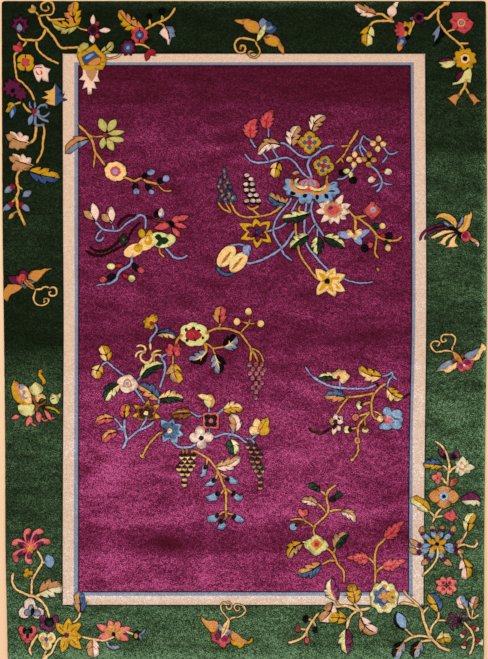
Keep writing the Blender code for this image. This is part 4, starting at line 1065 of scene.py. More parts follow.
def fieldRightMiddle():
    vines("lilac", (1.7, 305.2,366.6, 308.4,371.4, 312,376),
        (2.3, 311,375, 317,379.6, 323,383, 329,385.6, 335,387.2, 341,388, 350,388.6, 360,388.6, 368,388,
        376.4,384.8),
        (2, 339.2,380.6, 340.4,387.6))
    leaf(337.8,379, 318.2,376.4, 9, "pine", "straw", "black", 0.1, 3)
    fan("apricot", 7.6, 339,378.4, 333.4,372.2, 339.2,368.6, 345.4,370.2, 350,375.6, 347,380.8)
    oval("red", 338.5,377.6, 1.9,2.1)
    leaf(381.4,376.8, 358,369.2, 13.4, "apricot", "gold", "maroon", -0.12, 3)
    vines("lilac", (1.8, 382,376.4, 388,375, 392.6,371.4), (2.1, 392.6,371.4, 393,376, 397.4,379.6),
        (2, 392.4,376.6, 388.8,381, 387.4,388.4))
    vines("amber",
        (2.3, 386.2,383.4, 381,387, 376,392, 373,396.6, 371.6,402, 371.4,408, 372,413, 374,417.4,
        377.8,419.8),
        (2.5, 375,393, 370,394.2, 362,395.6, 354,397, 345.6,396.8),
        (2.1, 348,398.2, 343,404, 339,410, 336,415))
    leaf(345.4,397.4, 324.4,395.4, 12.8, "orange", "denim", "black", 0.06, 3, 0.2)
    petal("straw", 5.6, 359.4,401, 359.2,410.4, 1)
    petal("maroon", 3, 361,402, 361.8,407, 1)
    vine("amber", 2.4, 362.8,405, 366,403.6, 370.8,402.4)
    oval("orange", 355.6,417.4, 3.4,3.3)
    oval("coral", 355.6,417.4, 2.3,2.2)
    vines("amber", (2.2, 358.8,416, 364,414.6, 369.8,411.8),
        (2.2, 369.6,412.4, 366.6,416.4, 363,420, 359.6,424, 358.2,428, 358,437),
        (1.7, 364.8,417, 365,421, 365.4,426))
    oval("straw", 365.2,430.3, 3.2,2.6)
    oval("brown", 365.2,428, 2,2.1)
    oval("straw", 347.4,429.6, 3.4,3.9)
    oval("maroon", 349.8,429.4, 1.9,2.5)
    vine("amber", 2, 351.4,428.8, 357.8,427.8)
    oval("orange", 357.4,440.6, 2.8,3.5)
    oval("red", 357.4,440.4, 1.2,1.6)
    vine("amber", 2.1, 358.4,443.8, 358.4,450, 356.4,455, 353.6,458.4)
    oval("amber", 352.2,459.8, 2,1.6, -35)
    vine("amber", 2.1, 373,410.8, 377,412.4, 381.6,415.6)
    ovals("sky", (387,411.4, 4.2,4.2), (396.6,414.4, 6,4.8), (398.2,420, 4.6,4.8), (396.4,425, 5.4,4.4),
        (386.6,426.2, 6,3.8), (382,427, 3,2.4), (391,419, 7,6))
    vines("denim", (1.3, 391,415, 394.6,418.6, 400.6,419.4), (1.3, 391.6,423, 395,421.6),
        (1.1, 386,409, 387.6,413))
    fan("coral", 4.6, 388,419.4, 382.4,416.4, 393.6,420.4, 386,424)
    oval("apricot", 380,419, 3.2,3.1)
    leaf(387.4,388.4, 402,399.6, 13.4, "gold", "apricot", "maroon", 0.12, 3)
    vines("maroon", (1, 401,398.4, 405,396.8, 409.4,393.4), (1.8, 375.6,383.4, 379.4,386.4),
        (1.7, 309.6,429, 314,432, 320,433.4, 326,431.2, 330,428))
    vine("brown", 0.8, 311,428.8, 315.6,431, 321,431.8)
    fan("fawn", 5.4, 335,424.6, 329.4,417.6, 331,421)
    fans("shell", (5.4, 336.6,421.6, 335.2,414, 343,416.6, 343.8,422.2),
        (4.6, 336.4,425, 332.6,435, 340.2,431.4))
    fan("maroon", 3.2, 337.6,419.6, 332.4,422.6, 333.2,430.4, 340,418)


def fieldLowerRight():
    vines("amber",
        (2.3, 336.4,485.4, 332,487.6, 328,492, 326.6,497, 327.4,503, 328.4,508, 327.4,513, 324.4,517,
        319.4,521.4, 315.4,525.4, 313.6,530, 314.8,537),
        (1.9, 326.6,496, 323.4,493, 320.4,490.4), (2.1, 325.8,512.4, 322.6,508, 317.6,503.6),
        (2.5, 328.6,512, 334,510.2, 341.6,509.8), (2.1, 313.8,527, 309,523.6, 304.6,520.6, 303,517.4),
        (1.9, 304.4,520.4, 298,519, 289.8,520))
    petal("black", 5.4, 321,491.4, 313.4,486.4, 1.3)
    oval("pine", 312.6,486.2, 4,3.1, 20)
    petal("black", 5, 329,501.4, 337.2,495.8, 1.3)
    oval("pine", 338.4,495, 3.6,2.8, -15)
    leaf(317.6,504.6, 301.4,499.4, 9.4, "shell", "fawn", "brown", 0.1, 3, 0.24)
    fan("coral", 4.8, 303.4,517.6, 298.8,508.4, 303.4,509.4, 307,508.6)
    oval("sky", 293.4,527, 4,3.5)
    petal("maroon", 3.6, 299.4,525, 294.4,525.4, 1.2)
    vine("brown", 1.4, 297,525.4, 302,524.4, 308.4,523)
    leaf(341.6,511.6, 357,520.4, 9.6, "fawn", "shell", "brown", -0.16, 3, 0.24)
    vine("straw", 2, 302.6,542, 308,542.6)
    rosette("straw", 11, 316.3,545.2, 0,12.4, 4, 184)
    rosette("straw", 11, 316.3,545.2, 0,10.6, 92, 272)
    rosette("straw", 8, 316.3,545.2, 0,9.2, 40, 140, 222, 318)
    flower(316.6,544.2, 4, 0, ("gold", 6, -0.24), ("coral", 3), ("red", 1.6))
    leaf(302,543.4, 287,557, 13.2, "fawn", "gold", "black", 0.16, 3)
    leaf(334.8,548.6, 347.2,532, 13, "fawn", "pine", None, -0.14, 3)
    vines("amber", (2.4, 325.8,547.4, 330,551, 333,554, 336,559.6, 337,563, 341,568, 344,573, 344,582.6),
        (2.2, 336.4,560.6, 330,560.8, 326,562.4, 321.6,564.6), (2.1, 333.2,554, 335.6,548))
    leaf(321.4,564, 297.6,575, 14, "denim", "orange", "black", -0.08, 3)
    for x0, y0, x1, y1, x2, y2 in ((385, 538.4, 399.6, 524.4, 404.4, 520.8),
            (368.8, 560.4, 353, 556.8, 346, 557.4), (382.6, 567.2, 400, 562.6, 406.2, 560)):
        leaf(x0, y0, x1, y1, 13.2, "coral", "coral", "red", 0.04, 3, 0.22)
        petal("coral", 4.4, x1 - (x1 - x0) * 0.3, y1 - (y1 - y0) * 0.3, x2, y2, 0.8)
        vine("red", 0.9, x0 * 0.6 + x1 * 0.4, y0 * 0.6 + y1 * 0.4 + 2.6, x0 * 0.25 + x1 * 0.75,
            y0 * 0.25 + y1 * 0.75 - 0.4)
    vines("amber", (2.4, 385.4,538.2, 382,542, 378,546, 376,551, 375,558, 375,566, 375.2,573, 375,584),
        (2.2, 375,565.8, 372,561, 368.6,557.6), (2.4, 375.8,574, 379,569.6, 383.4,566.4))


def borderBottomRightCorner():
    vines("apricot", (2.5, 400,603.6, 407,603.8, 413,605, 418.6,606.6),
        (2, 403.4,590.4, 408,596, 414,601.2, 418,605, 420.8,608.6),
        (2.7, 419.6,607, 421.8,611, 423.2,618, 425.8,626, 428.6,633, 431.6,638, 436.4,643.4, 442,648,
        450.8,651),
        (2, 423,614.6, 424.8,610.6, 428.6,607),
        (2.3, 430.4,635, 431.4,628, 435,622.8, 438.4,618, 438.8,611.6),
        (1.9, 437.6,620.8, 442,620.4, 446.2,620.6),
        (2.6, 431.6,638, 424,636.4, 418,636, 413,637, 408,639.6, 403.8,642.2),
        (2, 413.4,636.6, 409.6,633, 404.8,629), (2.4, 433,640.6, 427,640.6, 420.4,641.8),
        (1.4, 436.6,641.4, 438,637, 441,634.2))
    flower(384.2,597.4, 9, -90, ("straw", 16.6, 0.2, 0.88), ("straw", 13.6))
    for turn in range(6):
        oval("fawn", *onCircle(384, 597, 9.6, 60 * turn + 30), 2.7, 2.9)
    flower(382.4,597, 6, 30, ("denim", 9.6, 0.34))
    oval("gold", 391,596.8, 4.6,5)
    oval("denim", 392.6,597.4, 1.4,1.3)
    fan("orange", 4, 384,597, 378,596, 384,590.6, 389,594.4, 384.8,602.8)
    vines("apricot",
        (2.2, 435.4,441.4, 440,444.2, 443.8,448.6, 446.4,453.4, 448.2,459, 449.4,465, 449,471, 448,477,
        447.4,485.6),
        (2, 447.6,470.4, 445.4,467, 442.4,465.6), (2.2, 449.4,473, 452,469.6, 457,466.2),
        (2.4, 447,484.4, 444,480.4, 441.6,477.4))
    petal("black", 4.2, 446.4,459.4, 442,452.4, 1)
    fan("plum", 4.6, 443.4,453.4, 438,450.8, 439.4,454.8, 442.4,450.6)
    oval("plum", 450.6,457.4, 1.7,2.4)
    oval("black", 453.6,456, 2.6,3.4, 15)
    fan("plum", 4, 455.6,455.4, 456.8,450, 459.8,455.4)
    leaf(442.6,465.8, 423.2,464, 11, "gold", "denim", "black", 0.04, 3, 0.24)
    fan("ivory", 6.4, 463,467, 462.8,456, 468,460.2, 475.2,467.6, 470.4,472.4, 460.4,476.6, 455.2,472.8,
        456,460.8)
    oval("ivory", 463.4,467, 6.4,6)
    fan("fawn", 3.4, 463,467, 461.2,461.4, 467,466, 463,471.4, 459,469.6)
    oval("shell", 462.2,466.6, 1.7,1.9)
    ovals("rose", (434.6,477.4, 2.9,2.9), (439.2,474.8, 2.6,3.1), (438,481.2, 2.6,2.6),
        (439.6,478.2, 2.2,2))
    oval("red", 437.8,478, 1,1.4)
    petal("coral", 6, 449.4,486.4, 457.6,478.2, 1.2)
    petal("brown", 4.6, 452.4,483.4, 457.8,478.2, 1.2)
    petals("orange", (15.6, 443.9,496.4, 443.4,485.6, 1.7), (14, 443.9,496.4, 443,509, 1.3),
        (13, 443.9,496.4, 428.2,495.8, 1.1), (13, 443.9,496.4, 460,496.8, 1.1))
    for across, down in ((-1, -1), (1, -1), (-1, 1), (1, 1)):
        vine("brown", 0.9, 443.9 + across * 4, 496.4 + down * 4, 443.9 + across * 7.6, 496.4 + down * 7.4)
    flower(443.9,496.3, 4, 0, ("slate", 5.6, -0.16), ("ivory", 3.8, -0.1), ("sky", 3), ("black", 1.7))
    panel("plum", 460.4,500.2, 462.2,497, 466,495, 469.4,492.2, 474.6,493.2, 479.4,497.2, 480.8,501,
        476.4,500.2, 470,500, 464.6,500.6)
    panel("ivory", 461.6,501, 470,500.4, 477,500.6, 480.8,502.8, 479.4,507.6, 477,504.6, 474,506,
        470.4,503.8, 466.4,504.8)
    leaf(430,511.4, 411,497.4, 12, "straw", "gold", "brown", 0.06, 2, 0.16)
    vines("apricot", (2.2, 429.6,511, 432.4,514, 435.4,517.4),
        (2.3, 441.6,508.6, 438,512, 436,515, 434.4,518.8, 432.2,523),
        (2.3, 435,517.4, 439,516.6, 443,516.2))
    panel("coral", 442.6,515.6, 447,512.4, 450.2,512.2, 451.6,508.4, 455,512, 455.8,515.6, 460,518.2,
        457,519.4, 454.6,518.6, 453,522.4, 449,520, 445.4,518)
    vine("red", 0.8, 445,515.8, 450,516, 454,517)
    leaf(467.4,531.8, 473.2,512.2, 12.6, "straw", "gold", "maroon", -0.1, 2, 0.24)


def borderDaisy():
    x, y = 437.4, 544.2
    for kneeAcross, kneeDown, tipAcross, tipDown in ((432.2, 530.2, 433.4, 525.4), (442, 530.2, 442.4, 525),
            (452.2, 533.6, 454.8, 525.2), (421.6, 534, 422.4, 526.4), (420, 546.8, 409, 539.2),
            (419.8, 554, 408, 548.6), (429, 559.4, 421.6, 565), (442.8, 559.6, 452.4, 565.6),
            (455.6, 546.6, 463.4, 538.6), (456.4, 553, 465, 550.8)):
        petal("fawn", 5.4, kneeAcross, kneeDown, tipAcross, tipDown, 0.8)
        petal("sky", 5.2, x + (kneeAcross - x) * 0.36, y + (kneeDown - y) * 0.36, kneeAcross, kneeDown, 1.3)
        petal("plum", 5, x + (kneeAcross - x) * 0.84, y + (kneeDown - y) * 0.84,
            kneeAcross * 0.7 + tipAcross * 0.3, kneeDown * 0.7 + tipDown * 0.3, 1.2)
    for tipAcross, tipDown in ((437.4, 533.6), (426.8, 539.6), (447, 540.4), (429.2, 553.4),
            (445.4, 553.6)):
        petal("gold", 5.2, x, y, tipAcross, tipDown, 1.1)
        vine("orange", 1.4, x, y, x * 0.45 + tipAcross * 0.55, y * 0.45 + tipDown * 0.55)
    oval("black", x, y, 2.1,2)
    vines("apricot", (2.3, 437.4,547.4, 437.8,555, 435,562.6, 430,568.6, 422.8,575.8),
        (2.2, 467,531.6, 464.4,537, 461,541.4),
        (2.2, 457.6,547, 460.6,545.4, 465.4,544.6, 470,546.6, 474.8,546.6, 477.4,543.4, 476.2,539.8),
        (2.2, 458.4,551.4, 460.6,555, 462.2,558.8))
    leaf(462.6,559, 467.2,579.8, 13.6, "gold", "shell", "maroon", -0.1, 2, 0.4)
    for sideAcross in (-1, 1):
        for sideDown in (-1, 1):
            fan("rose", 6, 446.5 + sideAcross, 585.8 + sideDown, 446.5 + 4.8 * sideAcross,
                585.8 + 9.4 * sideDown, 446.5 + 11 * sideAcross, 585.8 + 4.6 * sideDown)
            oval("red", 446.5 + 3.3 * sideAcross, 585.8 + 3 * sideDown, 1.9,1.7)
    leaf(438.8,612, 429.8,593.4, 14, "gold", "denim", "black", 0.12, 2, 0.34)
    leaf(465.8,608.8, 459.4,595.6, 12, "shell", "sky", "brown", -0.1, 2, 0.1)
    leaf(473.4,609.6, 476,595.6, 9.6, "shell", "fawn", "brown", -0.05, 2, 0.34)
    vines("apricot", (2.1, 467.2,607, 468,612, 470.4,617.4, 474.4,618.4, 479.4,614.4),
        (1.9, 473.4,609.4, 472.6,613, 472,617.4))
    vines("plum", (1.9, 458.6,619, 456,615, 452,613.4, 448.4,614.4),
        (1.9, 457.6,620.4, 452.4,617.8, 448.6,619.6, 447.4,624),
        (1.9, 457.6,622, 453,623.2, 451.2,626.8, 453.4,630.8), (1.7, 459,622.4, 458,625.6, 456.4,628),
        (1.9, 460.4,618.6, 461,614.8, 464,613, 465.4,614.6), (1.8, 461.4,620.4, 466,619.2, 470.6,619.4),
        (1.7, 461,622.4, 462.2,626.4))
    oval("black", 459.4,620.6, 1.9,2.3)
    vines("apricot", (2.3, 464,622.4, 468.6,627.4, 472,632.4, 473.6,637.4, 473.4,644, 472,650, 469.4,654.6),
        (1.8, 473,637.6, 469.4,637.8, 466.8,641))
    for capAcross, capDown, tipAcross, tipDown in ((471.2, 626.2, 479.4, 630.6), (466.2, 630, 460.8, 638),
            (466.4, 642, 462.6, 649), (476, 638.8, 482.2, 643.8)):
        petal("ivory", 5, capAcross * 0.5 + tipAcross * 0.5, capDown * 0.5 + tipDown * 0.5, tipAcross,
            tipDown, 1.2)
        petal("red", 3.8, capAcross, capDown, capAcross * 0.3 + tipAcross * 0.7,
            capDown * 0.3 + tipDown * 0.7, 1.1)
    petal("black", 12.4, 404.2,630.4, 396.4,611.8, 1.2)
    petal("sky", 9, 405.6,628.8, 397.4,612.2, 1)
    leaf(403.8,642.6, 394.2,658.4, 12.6, "slate", "black", "orange", 0.06, 2, 0.3)
    leaf(420.8,641.8, 413.4,657.6, 12.6, "slate", "black", "orange", 0.06, 2, 0.3)
    leaf(437.6,640, 451.8,638, 12.6, "straw", "gold", "brown", -0.14, 2, 0.3)


def borderBottomMiddle():
    vines("apricot", (2.9, 370,608, 364,609.4, 358,610.6, 352.4,608.6, 347.4,606, 341,606.2, 334,606.8),
        (2, 341,606, 338,603.6, 336.4,600.2), (2.3, 359.4,610.2, 356.6,606.6, 354.2,603),
        (2.4, 357.4,610.8, 352,614.8, 349.4,618.6, 347.8,624, 346.6,629.6), (2, 349.4,618.8, 346,619.6),
        (2.3, 360.6,610.8, 361.6,614, 360.8,617.8))
    leaf(354.6,603, 350.8,583.8, 14.6, "gold", "gold", "brown", 0.08, 3, 0.36, 0.3)
    leaf(337.2,600.6, 329.8,578.8, 14, "straw", "plum", "coral", -0.14, 3, 0.26)
    leaf(333.2,603, 321.2,622.8, 16, "shell", "fawn", "maroon", -0.12, 2, 0.3)
    leaf(346.4,619.6, 328,617.8, 13.4, "gold", "gold", "maroon", 0.1, 2, 0.36, 0.2)
    leaf(346.6,629.2, 346.4,653.6, 14.4, "plum", "straw", "maroon", 0.06, 3, 0.24)
    leaf(360.6,617.6, 376,634.4, 14.4, "shell", "fawn", "maroon", 0.14, 2, 0.3)
    vines("apricot",
        (2.5, 318.8,612.6, 314.6,618, 311.4,623, 308,628.4, 306.2,633, 303,637, 297,640.6, 288.4,643),
        (2.2, 314,619.6, 311,620.4, 308,618.4), (2, 312.6,621, 314.4,623.4, 315.2,626.6),
        (2, 307.4,629.8, 304,629.4, 299.8,628.6), (1.9, 306.8,631.6, 307.6,637.4))
    ovals("black", (305.8,619, 2.7,3.3), (315.2,629.4, 2.3,3.1))
    ovals("coral", (298.2,629, 2.5,3), (306.9,640.5, 2.2,3))


def borderBottomButterfly():
    vines("apricot",
        (1.6, 228.8,620, 225.6,615.6, 221.8,611, 220.8,606.6, 222.4,603, 226,602, 230,603, 231.8,606.4,
        230,609.2, 227,608.8, 226.2,606),
        (1.6, 230,619.6, 233,617.6, 238,617.4, 241.8,615.6, 245.6,611.4, 244,607, 240.4,604.8, 235.6,604.6,
        234.2,608, 236.4,610.8, 239.6,609.8, 239.2,606.8))
    patch("gold", 200.6,616.2, 205,621, 210,627, 217.6,629.4, 216,631.6, 211.4,633, 207.6,628.6, 203.4,624)
    patch("orange", 201.4,616.6, 206,620, 212,620.6, 217.4,621.4, 218.6,628.6, 213.6,629.6, 208.4,627.4,
        204.6,623)
    patch("gold", 229,634, 231.6,640, 238,642.6, 247.4,641.8, 252,637.4, 252.8,641, 249,644, 244.4,644,
        242.6,647.4, 239.6,648.4, 237,646, 232.8,645.4, 230.6,641)
    patch("orange", 231.6,630.4, 237,633.4, 242,638, 248,641.2, 244,643.4, 238.6,643, 233,641, 230.8,635.4)
    fan("coral", 8.4, 220.4,637.4, 210.6,633.6, 211.4,640, 217,643.6, 224.4,648, 230.4,642.6, 228.4,635.4)
    ovals("plum", (217.6,636.4, 3.2,4.2), (224.6,638.6, 3.2,3.2))
    ovals("slate", (220.2,627.4, 2.2,3.6, -10), (228,632, 3.2,2.9, 20))
    petal("apricot", 5.8, 221.2,637.8, 229.4,618.4, 1.3)
    vine("brown", 0.8, 228,622, 225,630, 222.6,635)


def borderBottomLeft():
    vines("apricot", (2.3, 37,550.6, 40,555.6, 42.2,562, 39,568.4, 35,575, 32,581, 31.6,588, 31.6,595),
        (2, 33.2,579.4, 30.2,577), (2, 41.8,563.4, 45.8,562.2),
        (2.7, 13.4,573, 12,579, 13,585, 17,590, 23,593.2, 29,595.4, 35,597, 40,600.2, 44,604.6, 47.4,611,
        49.4,618.2),
        (2.8, 36,597, 41.4,593.4))
    x, y = 31.1, 548.8
    for bendAcross, bendDown, tipAcross, tipDown in ((26, 534.4, 30, 529.6), (36, 533, 42.4, 531.8),
            (43, 541.2, 49.4, 543.2), (18.4, 541.8, 12.6, 544.6), (15.6, 554.6, 17.2, 561.6),
            (27.4, 559, 31.6, 562.8)):
        vine("rose", 6.2, x, y, bendAcross, bendDown, tipAcross, tipDown)
        petal("plum", 4.6, x * 0.84 + bendAcross * 0.16, y * 0.84 + bendDown * 0.16,
            bendAcross * 0.8 + tipAcross * 0.2, bendDown * 0.8 + tipDown * 0.2, 1.4)
        petal("coral", 2.2, x, y, x * 0.4 + bendAcross * 0.6, y * 0.4 + bendDown * 0.6, 1.1)
    oval("gold", 30.9,548.8, 2.7,2.2, 20)
    petal("sky", 9.8, 51.4,568, 47.2,554.2, 0.9)
    ovals("gold", (26.6,571.2, 2.3,2.7), (26,575.4, 2.9,2.2), (30.4,573.4, 2.7,2.4))
    leaf(39.2,592.6, 62.2,586, 19.6, "fawn", "ivory", "brown", -0.06, 3, 0.3)
    ovals("cream", (29.8,605, 6,7.2), (24.6,612.6, 6.3,5.9), (37.6,612.8, 6.4,5.9), (31,609.6, 8,5))
    ovals("slate", (31.2,608.4, 2.4,3.4), (28,612.6, 3.4,3), (36.6,612.8, 3.4,3.2))
    oval("black", 32.2,611.6, 1.8,3.6)
    ovals("plum", (42.8,618.8, 3.2,3.5), (55.6,619.4, 3,3.5), (43.2,626, 3.5,3.3), (49.2,628.2, 4.6,2.9),
        (55,625, 2.9,2.8))
    oval("black", 49.3,622.6, 5.2,4.8)
    oval("pine", 49.4,622.8, 2.5,2.5)
    for tipAcross, tipDown in ((69, 617.8), (81, 622.6), (82.6, 637), (81.6, 649.6), (61.8, 653),
            (56, 623)):
        petal("gold", 8.6, 66.6,635, tipAcross, tipDown, 0.8)
        vine("brown", 1, 66.6 * 0.7 + tipAcross * 0.3, 635 * 0.7 + tipDown * 0.3,
            66.6 * 0.3 + tipAcross * 0.7, 635 * 0.3 + tipDown * 0.7)
    oval("plum", 66.7,635.1, 2.5,2.5)
    vine("apricot", 2.2, 80.4,611.4, 79.6,616, 76.8,620, 72.8,622.8)
    leaf(80.6,612.6, 78.6,591.4, 13.4, "fawn", "denim", "maroon", 0.04, 2, 0.14)
    ovals("coral", (21.8,630.4, 3.3,4.6), (33,630.6, 3.4,4.8), (24.2,636.4, 3.6,3.8), (31.2,636.6, 3.6,3.6),
        (27.4,640.6, 2.9,3.2))
    ovals("black", (24.6,630.8, 1.9,3.3), (31,630.8, 2,2.7), (27.6,635.8, 1.6,2.6), (27.6,631.4, 2.4,1.6))
    oval("pine", 27.6,632.2, 1.9,2.2)
    ovals("straw", (43,638, 4.6,5.6), (51,638, 4.6,5.4), (46.6,643.8, 5.4,6.6))
    ovals("orange", (42.6,638.8, 2.4,2.8), (50.4,638.4, 2.4,2.5), (46.2,645, 2.6,2.7))
    oval("denim", 46.3,639.6, 1.7,2.8)
    vines("apricot", (2.5, 38,634.8, 34,640, 30.6,646.8, 29.6,650.4, 31.6,655.6),
        (2.4, 46,650.4, 44.8,654, 42.8,658.4),
        (2.4, 61.6,637.4, 57,641, 54.6,646, 52,652, 47,656.4, 43.4,658.4),
        (2.5, 82.4,637, 88,638.4, 94,639.6, 102,640.4, 108,639.2, 114,637))
    leaf(92.4,639.8, 94,658, 14.6, "shell", "fawn", "brown", 0.04, 2, 0.16)
    vine("slate", 4.2, 106.4,642, 109,645.4, 113,647.6, 119,647)
    vine("black", 1.2, 108,643, 112,646.4)
    fan("rose", 6.8, 113.6,634, 96.2,624.6, 109,619.6, 119.6,620.6, 131,627.6, 129.4,640.4, 97.4,638.2,
        fullest=1.3)
    rosette("orange", 7, 113.6,634.4, 1,10.4, 196, 232, 268, 304, 340)
    rosette("orange", 6, 113.6,635.2, 1,9.6, 20)
    spokes("brown", 0.8, 113.6,634.4, 4,8, 214, 250, 286, 322)
    oval("black", 113.6,634.2, 1.9,2.3)
    vine("apricot", 2.1, 126,631.6, 130,633.4, 134.4,634)
    oval("black", 137,635.4, 3.9,4.4, 20)
    oval("orange", 135.8,636, 1.8,2.4)
    vines("slate", (2.5, 139.6,634.8, 142.4,633, 145.2,629), (2.3, 139.4,635, 141.6,640.6))


drawing = (fieldUpperLeft, fieldLeft, fieldGreatSprayTop, fieldBeadBunches, fieldGreatSprayLow,
           fieldGreatSprayRight, fieldPeony, fieldLowerLeftTop, fieldLowerLeftMiddle, fieldLowerLeftLow,
           fieldBeadDrops, fieldHangingStem, fieldRightMiddle, fieldLowerRight, borderTopLeft,
           borderTopMiddle, borderTopButterfly, borderTopRight, borderLeft, borderLeftButterfly,
           borderLeftBird, borderRightBird, borderRightButterfly, borderBottomRightCorner, borderDaisy,
           borderBottomMiddle, borderBottomButterfly, borderBottomLeft)


def sideAt(column, down):              # how far across a side edge or band line runs at this height
    rows = np.array(sideRows[column])
    place = (np.asarray(down, float) - chart["topEdge"]) / chart["length"] * (len(rows) - 1)
    k = np.clip(place.astype(int), 0, len(rows) - 2)
    a, b, c, d = (rows[np.clip(k + n, 0, len(rows) - 1)] for n in (-1, 0, 1, 2))
    return between(a, b, c, d, place - k)


def bandLoop(left, right, top, bottom):
    downs = np.linspace(top, bottom, rug["bandPoints"])
    sides = [np.stack([sideAt(column, downs), downs], axis=1) for column in (right, left)]
    return np.concatenate([sides[0], sides[1][::-1]])


def edgeLoop():                        # the rug's own edge, from the top left corner round by the right
    high, corner = chart["topEdge"], rug["cornerRadius"]
    low = high + chart["length"]
    corners = ((sideAt("edgeLeft", high) + corner, high + corner, 180),
               (sideAt("edgeRight", high) - corner, high + corner, 270),
               (sideAt("edgeRight", low) - corner, low - corner, 0),
               (sideAt("edgeLeft", low) + corner, low - corner, 90))
    loop = []
    for k, (across, down, first) in enumerate(corners):
        for turn in range(rug["cornerSteps"] + 1):
            loop.append(onCircle(across, down, corner, first + 90 / rug["cornerSteps"] * turn))
        nextAcross, nextDown, nextFirst = corners[(k + 1) % 4]
        here = np.array(loop[-1])
        there = np.array(onCircle(nextAcross, nextDown, corner, nextFirst))
        for t in np.linspace(0, 1, int(np.linalg.norm(there - here) / rug["edgeStep"]) + 1)[1:-1]:
            across, down = here + (there - here) * t
            if k % 2:
                across = float(sideAt("edgeRight" if k == 1 else "edgeLeft", down))
            loop.append((across, down))
    return np.array(loop)


def outwardOf(loop):                   # for a loop that runs clockwise as seen
    along = np.roll(loop, -1, axis=0) - np.roll(loop, 1, axis=0)
    along /= np.linalg.norm(along, axis=1)[:, None]
    return np.stack([along[:, 1], -along[:, 0]], axis=1)


def windings(places, outline):
    a, b = outline, np.roll(outline, -1, axis=0)
    x, y = places[:, :1], places[:, 1:]
    side = (b[:, 0] - a[:, 0]) * (y - a[:, 1]) - (x - a[:, 0]) * (b[:, 1] - a[:, 1])
    rises, falls = (a[:, 1] <= y) & (b[:, 1] > y), (a[:, 1] > y) & (b[:, 1] <= y)
    return (rises & (side > 0)).sum(axis=1) - (falls & (side < 0)).sum(axis=1)


def dyeAt(places):                     # the number of the dye that lies on top at each place
    found = np.full(len(places), dyeNames.index("green"))
    order = np.argsort(places[:, 1])
    downs = places[order, 1]
    for outline, dye in bandShapes + shapes:
        low, high = outline.min(axis=0), outline.max(axis=0)
        near = order[np.searchsorted(downs, low[1]):np.searchsorted(downs, high[1])]
        near = near[(places[near, 0] >= low[0]) & (places[near, 0] <= high[0])]
        for part in np.array_split(near, len(near) // 40000 + 1):    # so that the tables stay small
            if len(part):
                found[part[windings(places[part], outline) != 0]] = dyeNames.index(dye)
    return found


def thinned(outline, step, flatness):  # without the points that hardly bend it
    for offset in (0, 1):
        before, after = np.roll(outline, 1, axis=0), np.roll(outline, -1, axis=0)
        chord, rise = after - before, outline - before
        length = np.maximum(np.linalg.norm(chord, axis=1), 1e-6)
        bend = np.abs(chord[:, 0] * rise[:, 1] - chord[:, 1] * rise[:, 0]) / length
        idle = (bend < flatness) & (length < step * 1.3)
        idle[offset::2] = False
        outline = outline[~idle]
    return outline


def stepped(outline, step, flatness):  # the same outline with no edge longer than step
    outline, out = thinned(outline, step, flatness), []
    for a, b in zip(outline, np.roll(outline, -1, axis=0)):
        pieces = max(1, int(np.ceil(np.linalg.norm(b - a) / step)))
        out.extend(a + (b - a) * k / pieces for k in range(pieces))
    return np.array(out)


for draw in drawing:
    draw()
print("motif pieces", len(shapes))
dyeNames = list(dyes)
groundDyes = [dyeNames.index(name) for name in ground]
trimDyes = [dyeNames.index(name) for name in ("cream", "blueLine")]
bandShapes = [(bandLoop(*loop), name) for name, loop in bands.items()]
edge = edgeLoop()
middle = (edge.min(axis=0) + edge.max(axis=0)) / 2
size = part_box("pile_rug")
mark = (size[1][1] - size[0][1]) / chart["length"]
top = size[1][2]
outward = outwardOf(edge)
rimLoop = edge - outward * rug["rimRound"]
print("mark in mm", round(mark * 1000, 4), "top", round(top, 4))


def visibleEdges(step, flatness):      # outline edges between two dyes: starts, ends, sideways, carved or not
    starts, ends, inner = [], [], edge - outward * (rug["rimRound"] + rug["rimClear"])
    for outline, dye in bandShapes + shapes:
        points = stepped(outline, max(step, rug["bandStep"]) if dye in bands else step, flatness)
        starts.append(points)
        ends.append(np.roll(points, -1, axis=0))
    starts, ends = np.concatenate(starts), np.concatenate(ends)
    along = ends - starts
    length = np.linalg.norm(along, axis=1)
    kept = (length > rug["shortest"]) & (windings(starts, inner) != 0) & (windings(ends, inner) != 0)
    starts, ends, along = starts[kept], ends[kept], along[kept] / length[kept, None]
    side = np.stack([along[:, 1], -along[:, 0]], axis=1)
    seen = np.zeros(len(starts), bool)
    carved = np.zeros(len(starts), bool)
    for t in (0.15, 0.5, 0.85):        # read near both ends and in the middle
        at = starts * (1 - t) + ends * t
        one, other = dyeAt(at + side * rug["aside"]), dyeAt(at - side * rug["aside"])
        differs = one != other
        seen |= differs
        oneGround, otherGround = np.isin(one, groundDyes), np.isin(other, groundDyes)
        trim = np.isin(one, trimDyes) & np.isin(other, trimDyes)
        carved |= differs & ((oneGround != otherGround) | oneGround & otherGround & ~trim)
    return starts[seen], ends[seen], side[seen], carved[seen]


def treeOf(places):
    tree = KDTree(len(places))
    for k, (across, down) in enumerate(places):
        tree.insert((across, down, 0), k)
    tree.balance()
    return tree


def distances(tree, places):
    return np.array([tree.find((across, down, 0))[2] for across, down in places])


starts, ends, sides, carved = visibleEdges(rug["outlineStep"], rug["flatness"])
print("visible edges", len(starts), "carved", int(carved.sum()))
samples = [starts[carved] * (1 - t) + ends[carved] * t for t in (0, 0.2, 0.4, 0.6, 0.8, 1)]
carvedTree = treeOf(np.concatenate(samples))
allTree = treeOf(np.concatenate([starts, (starts + ends) / 2, ends]))


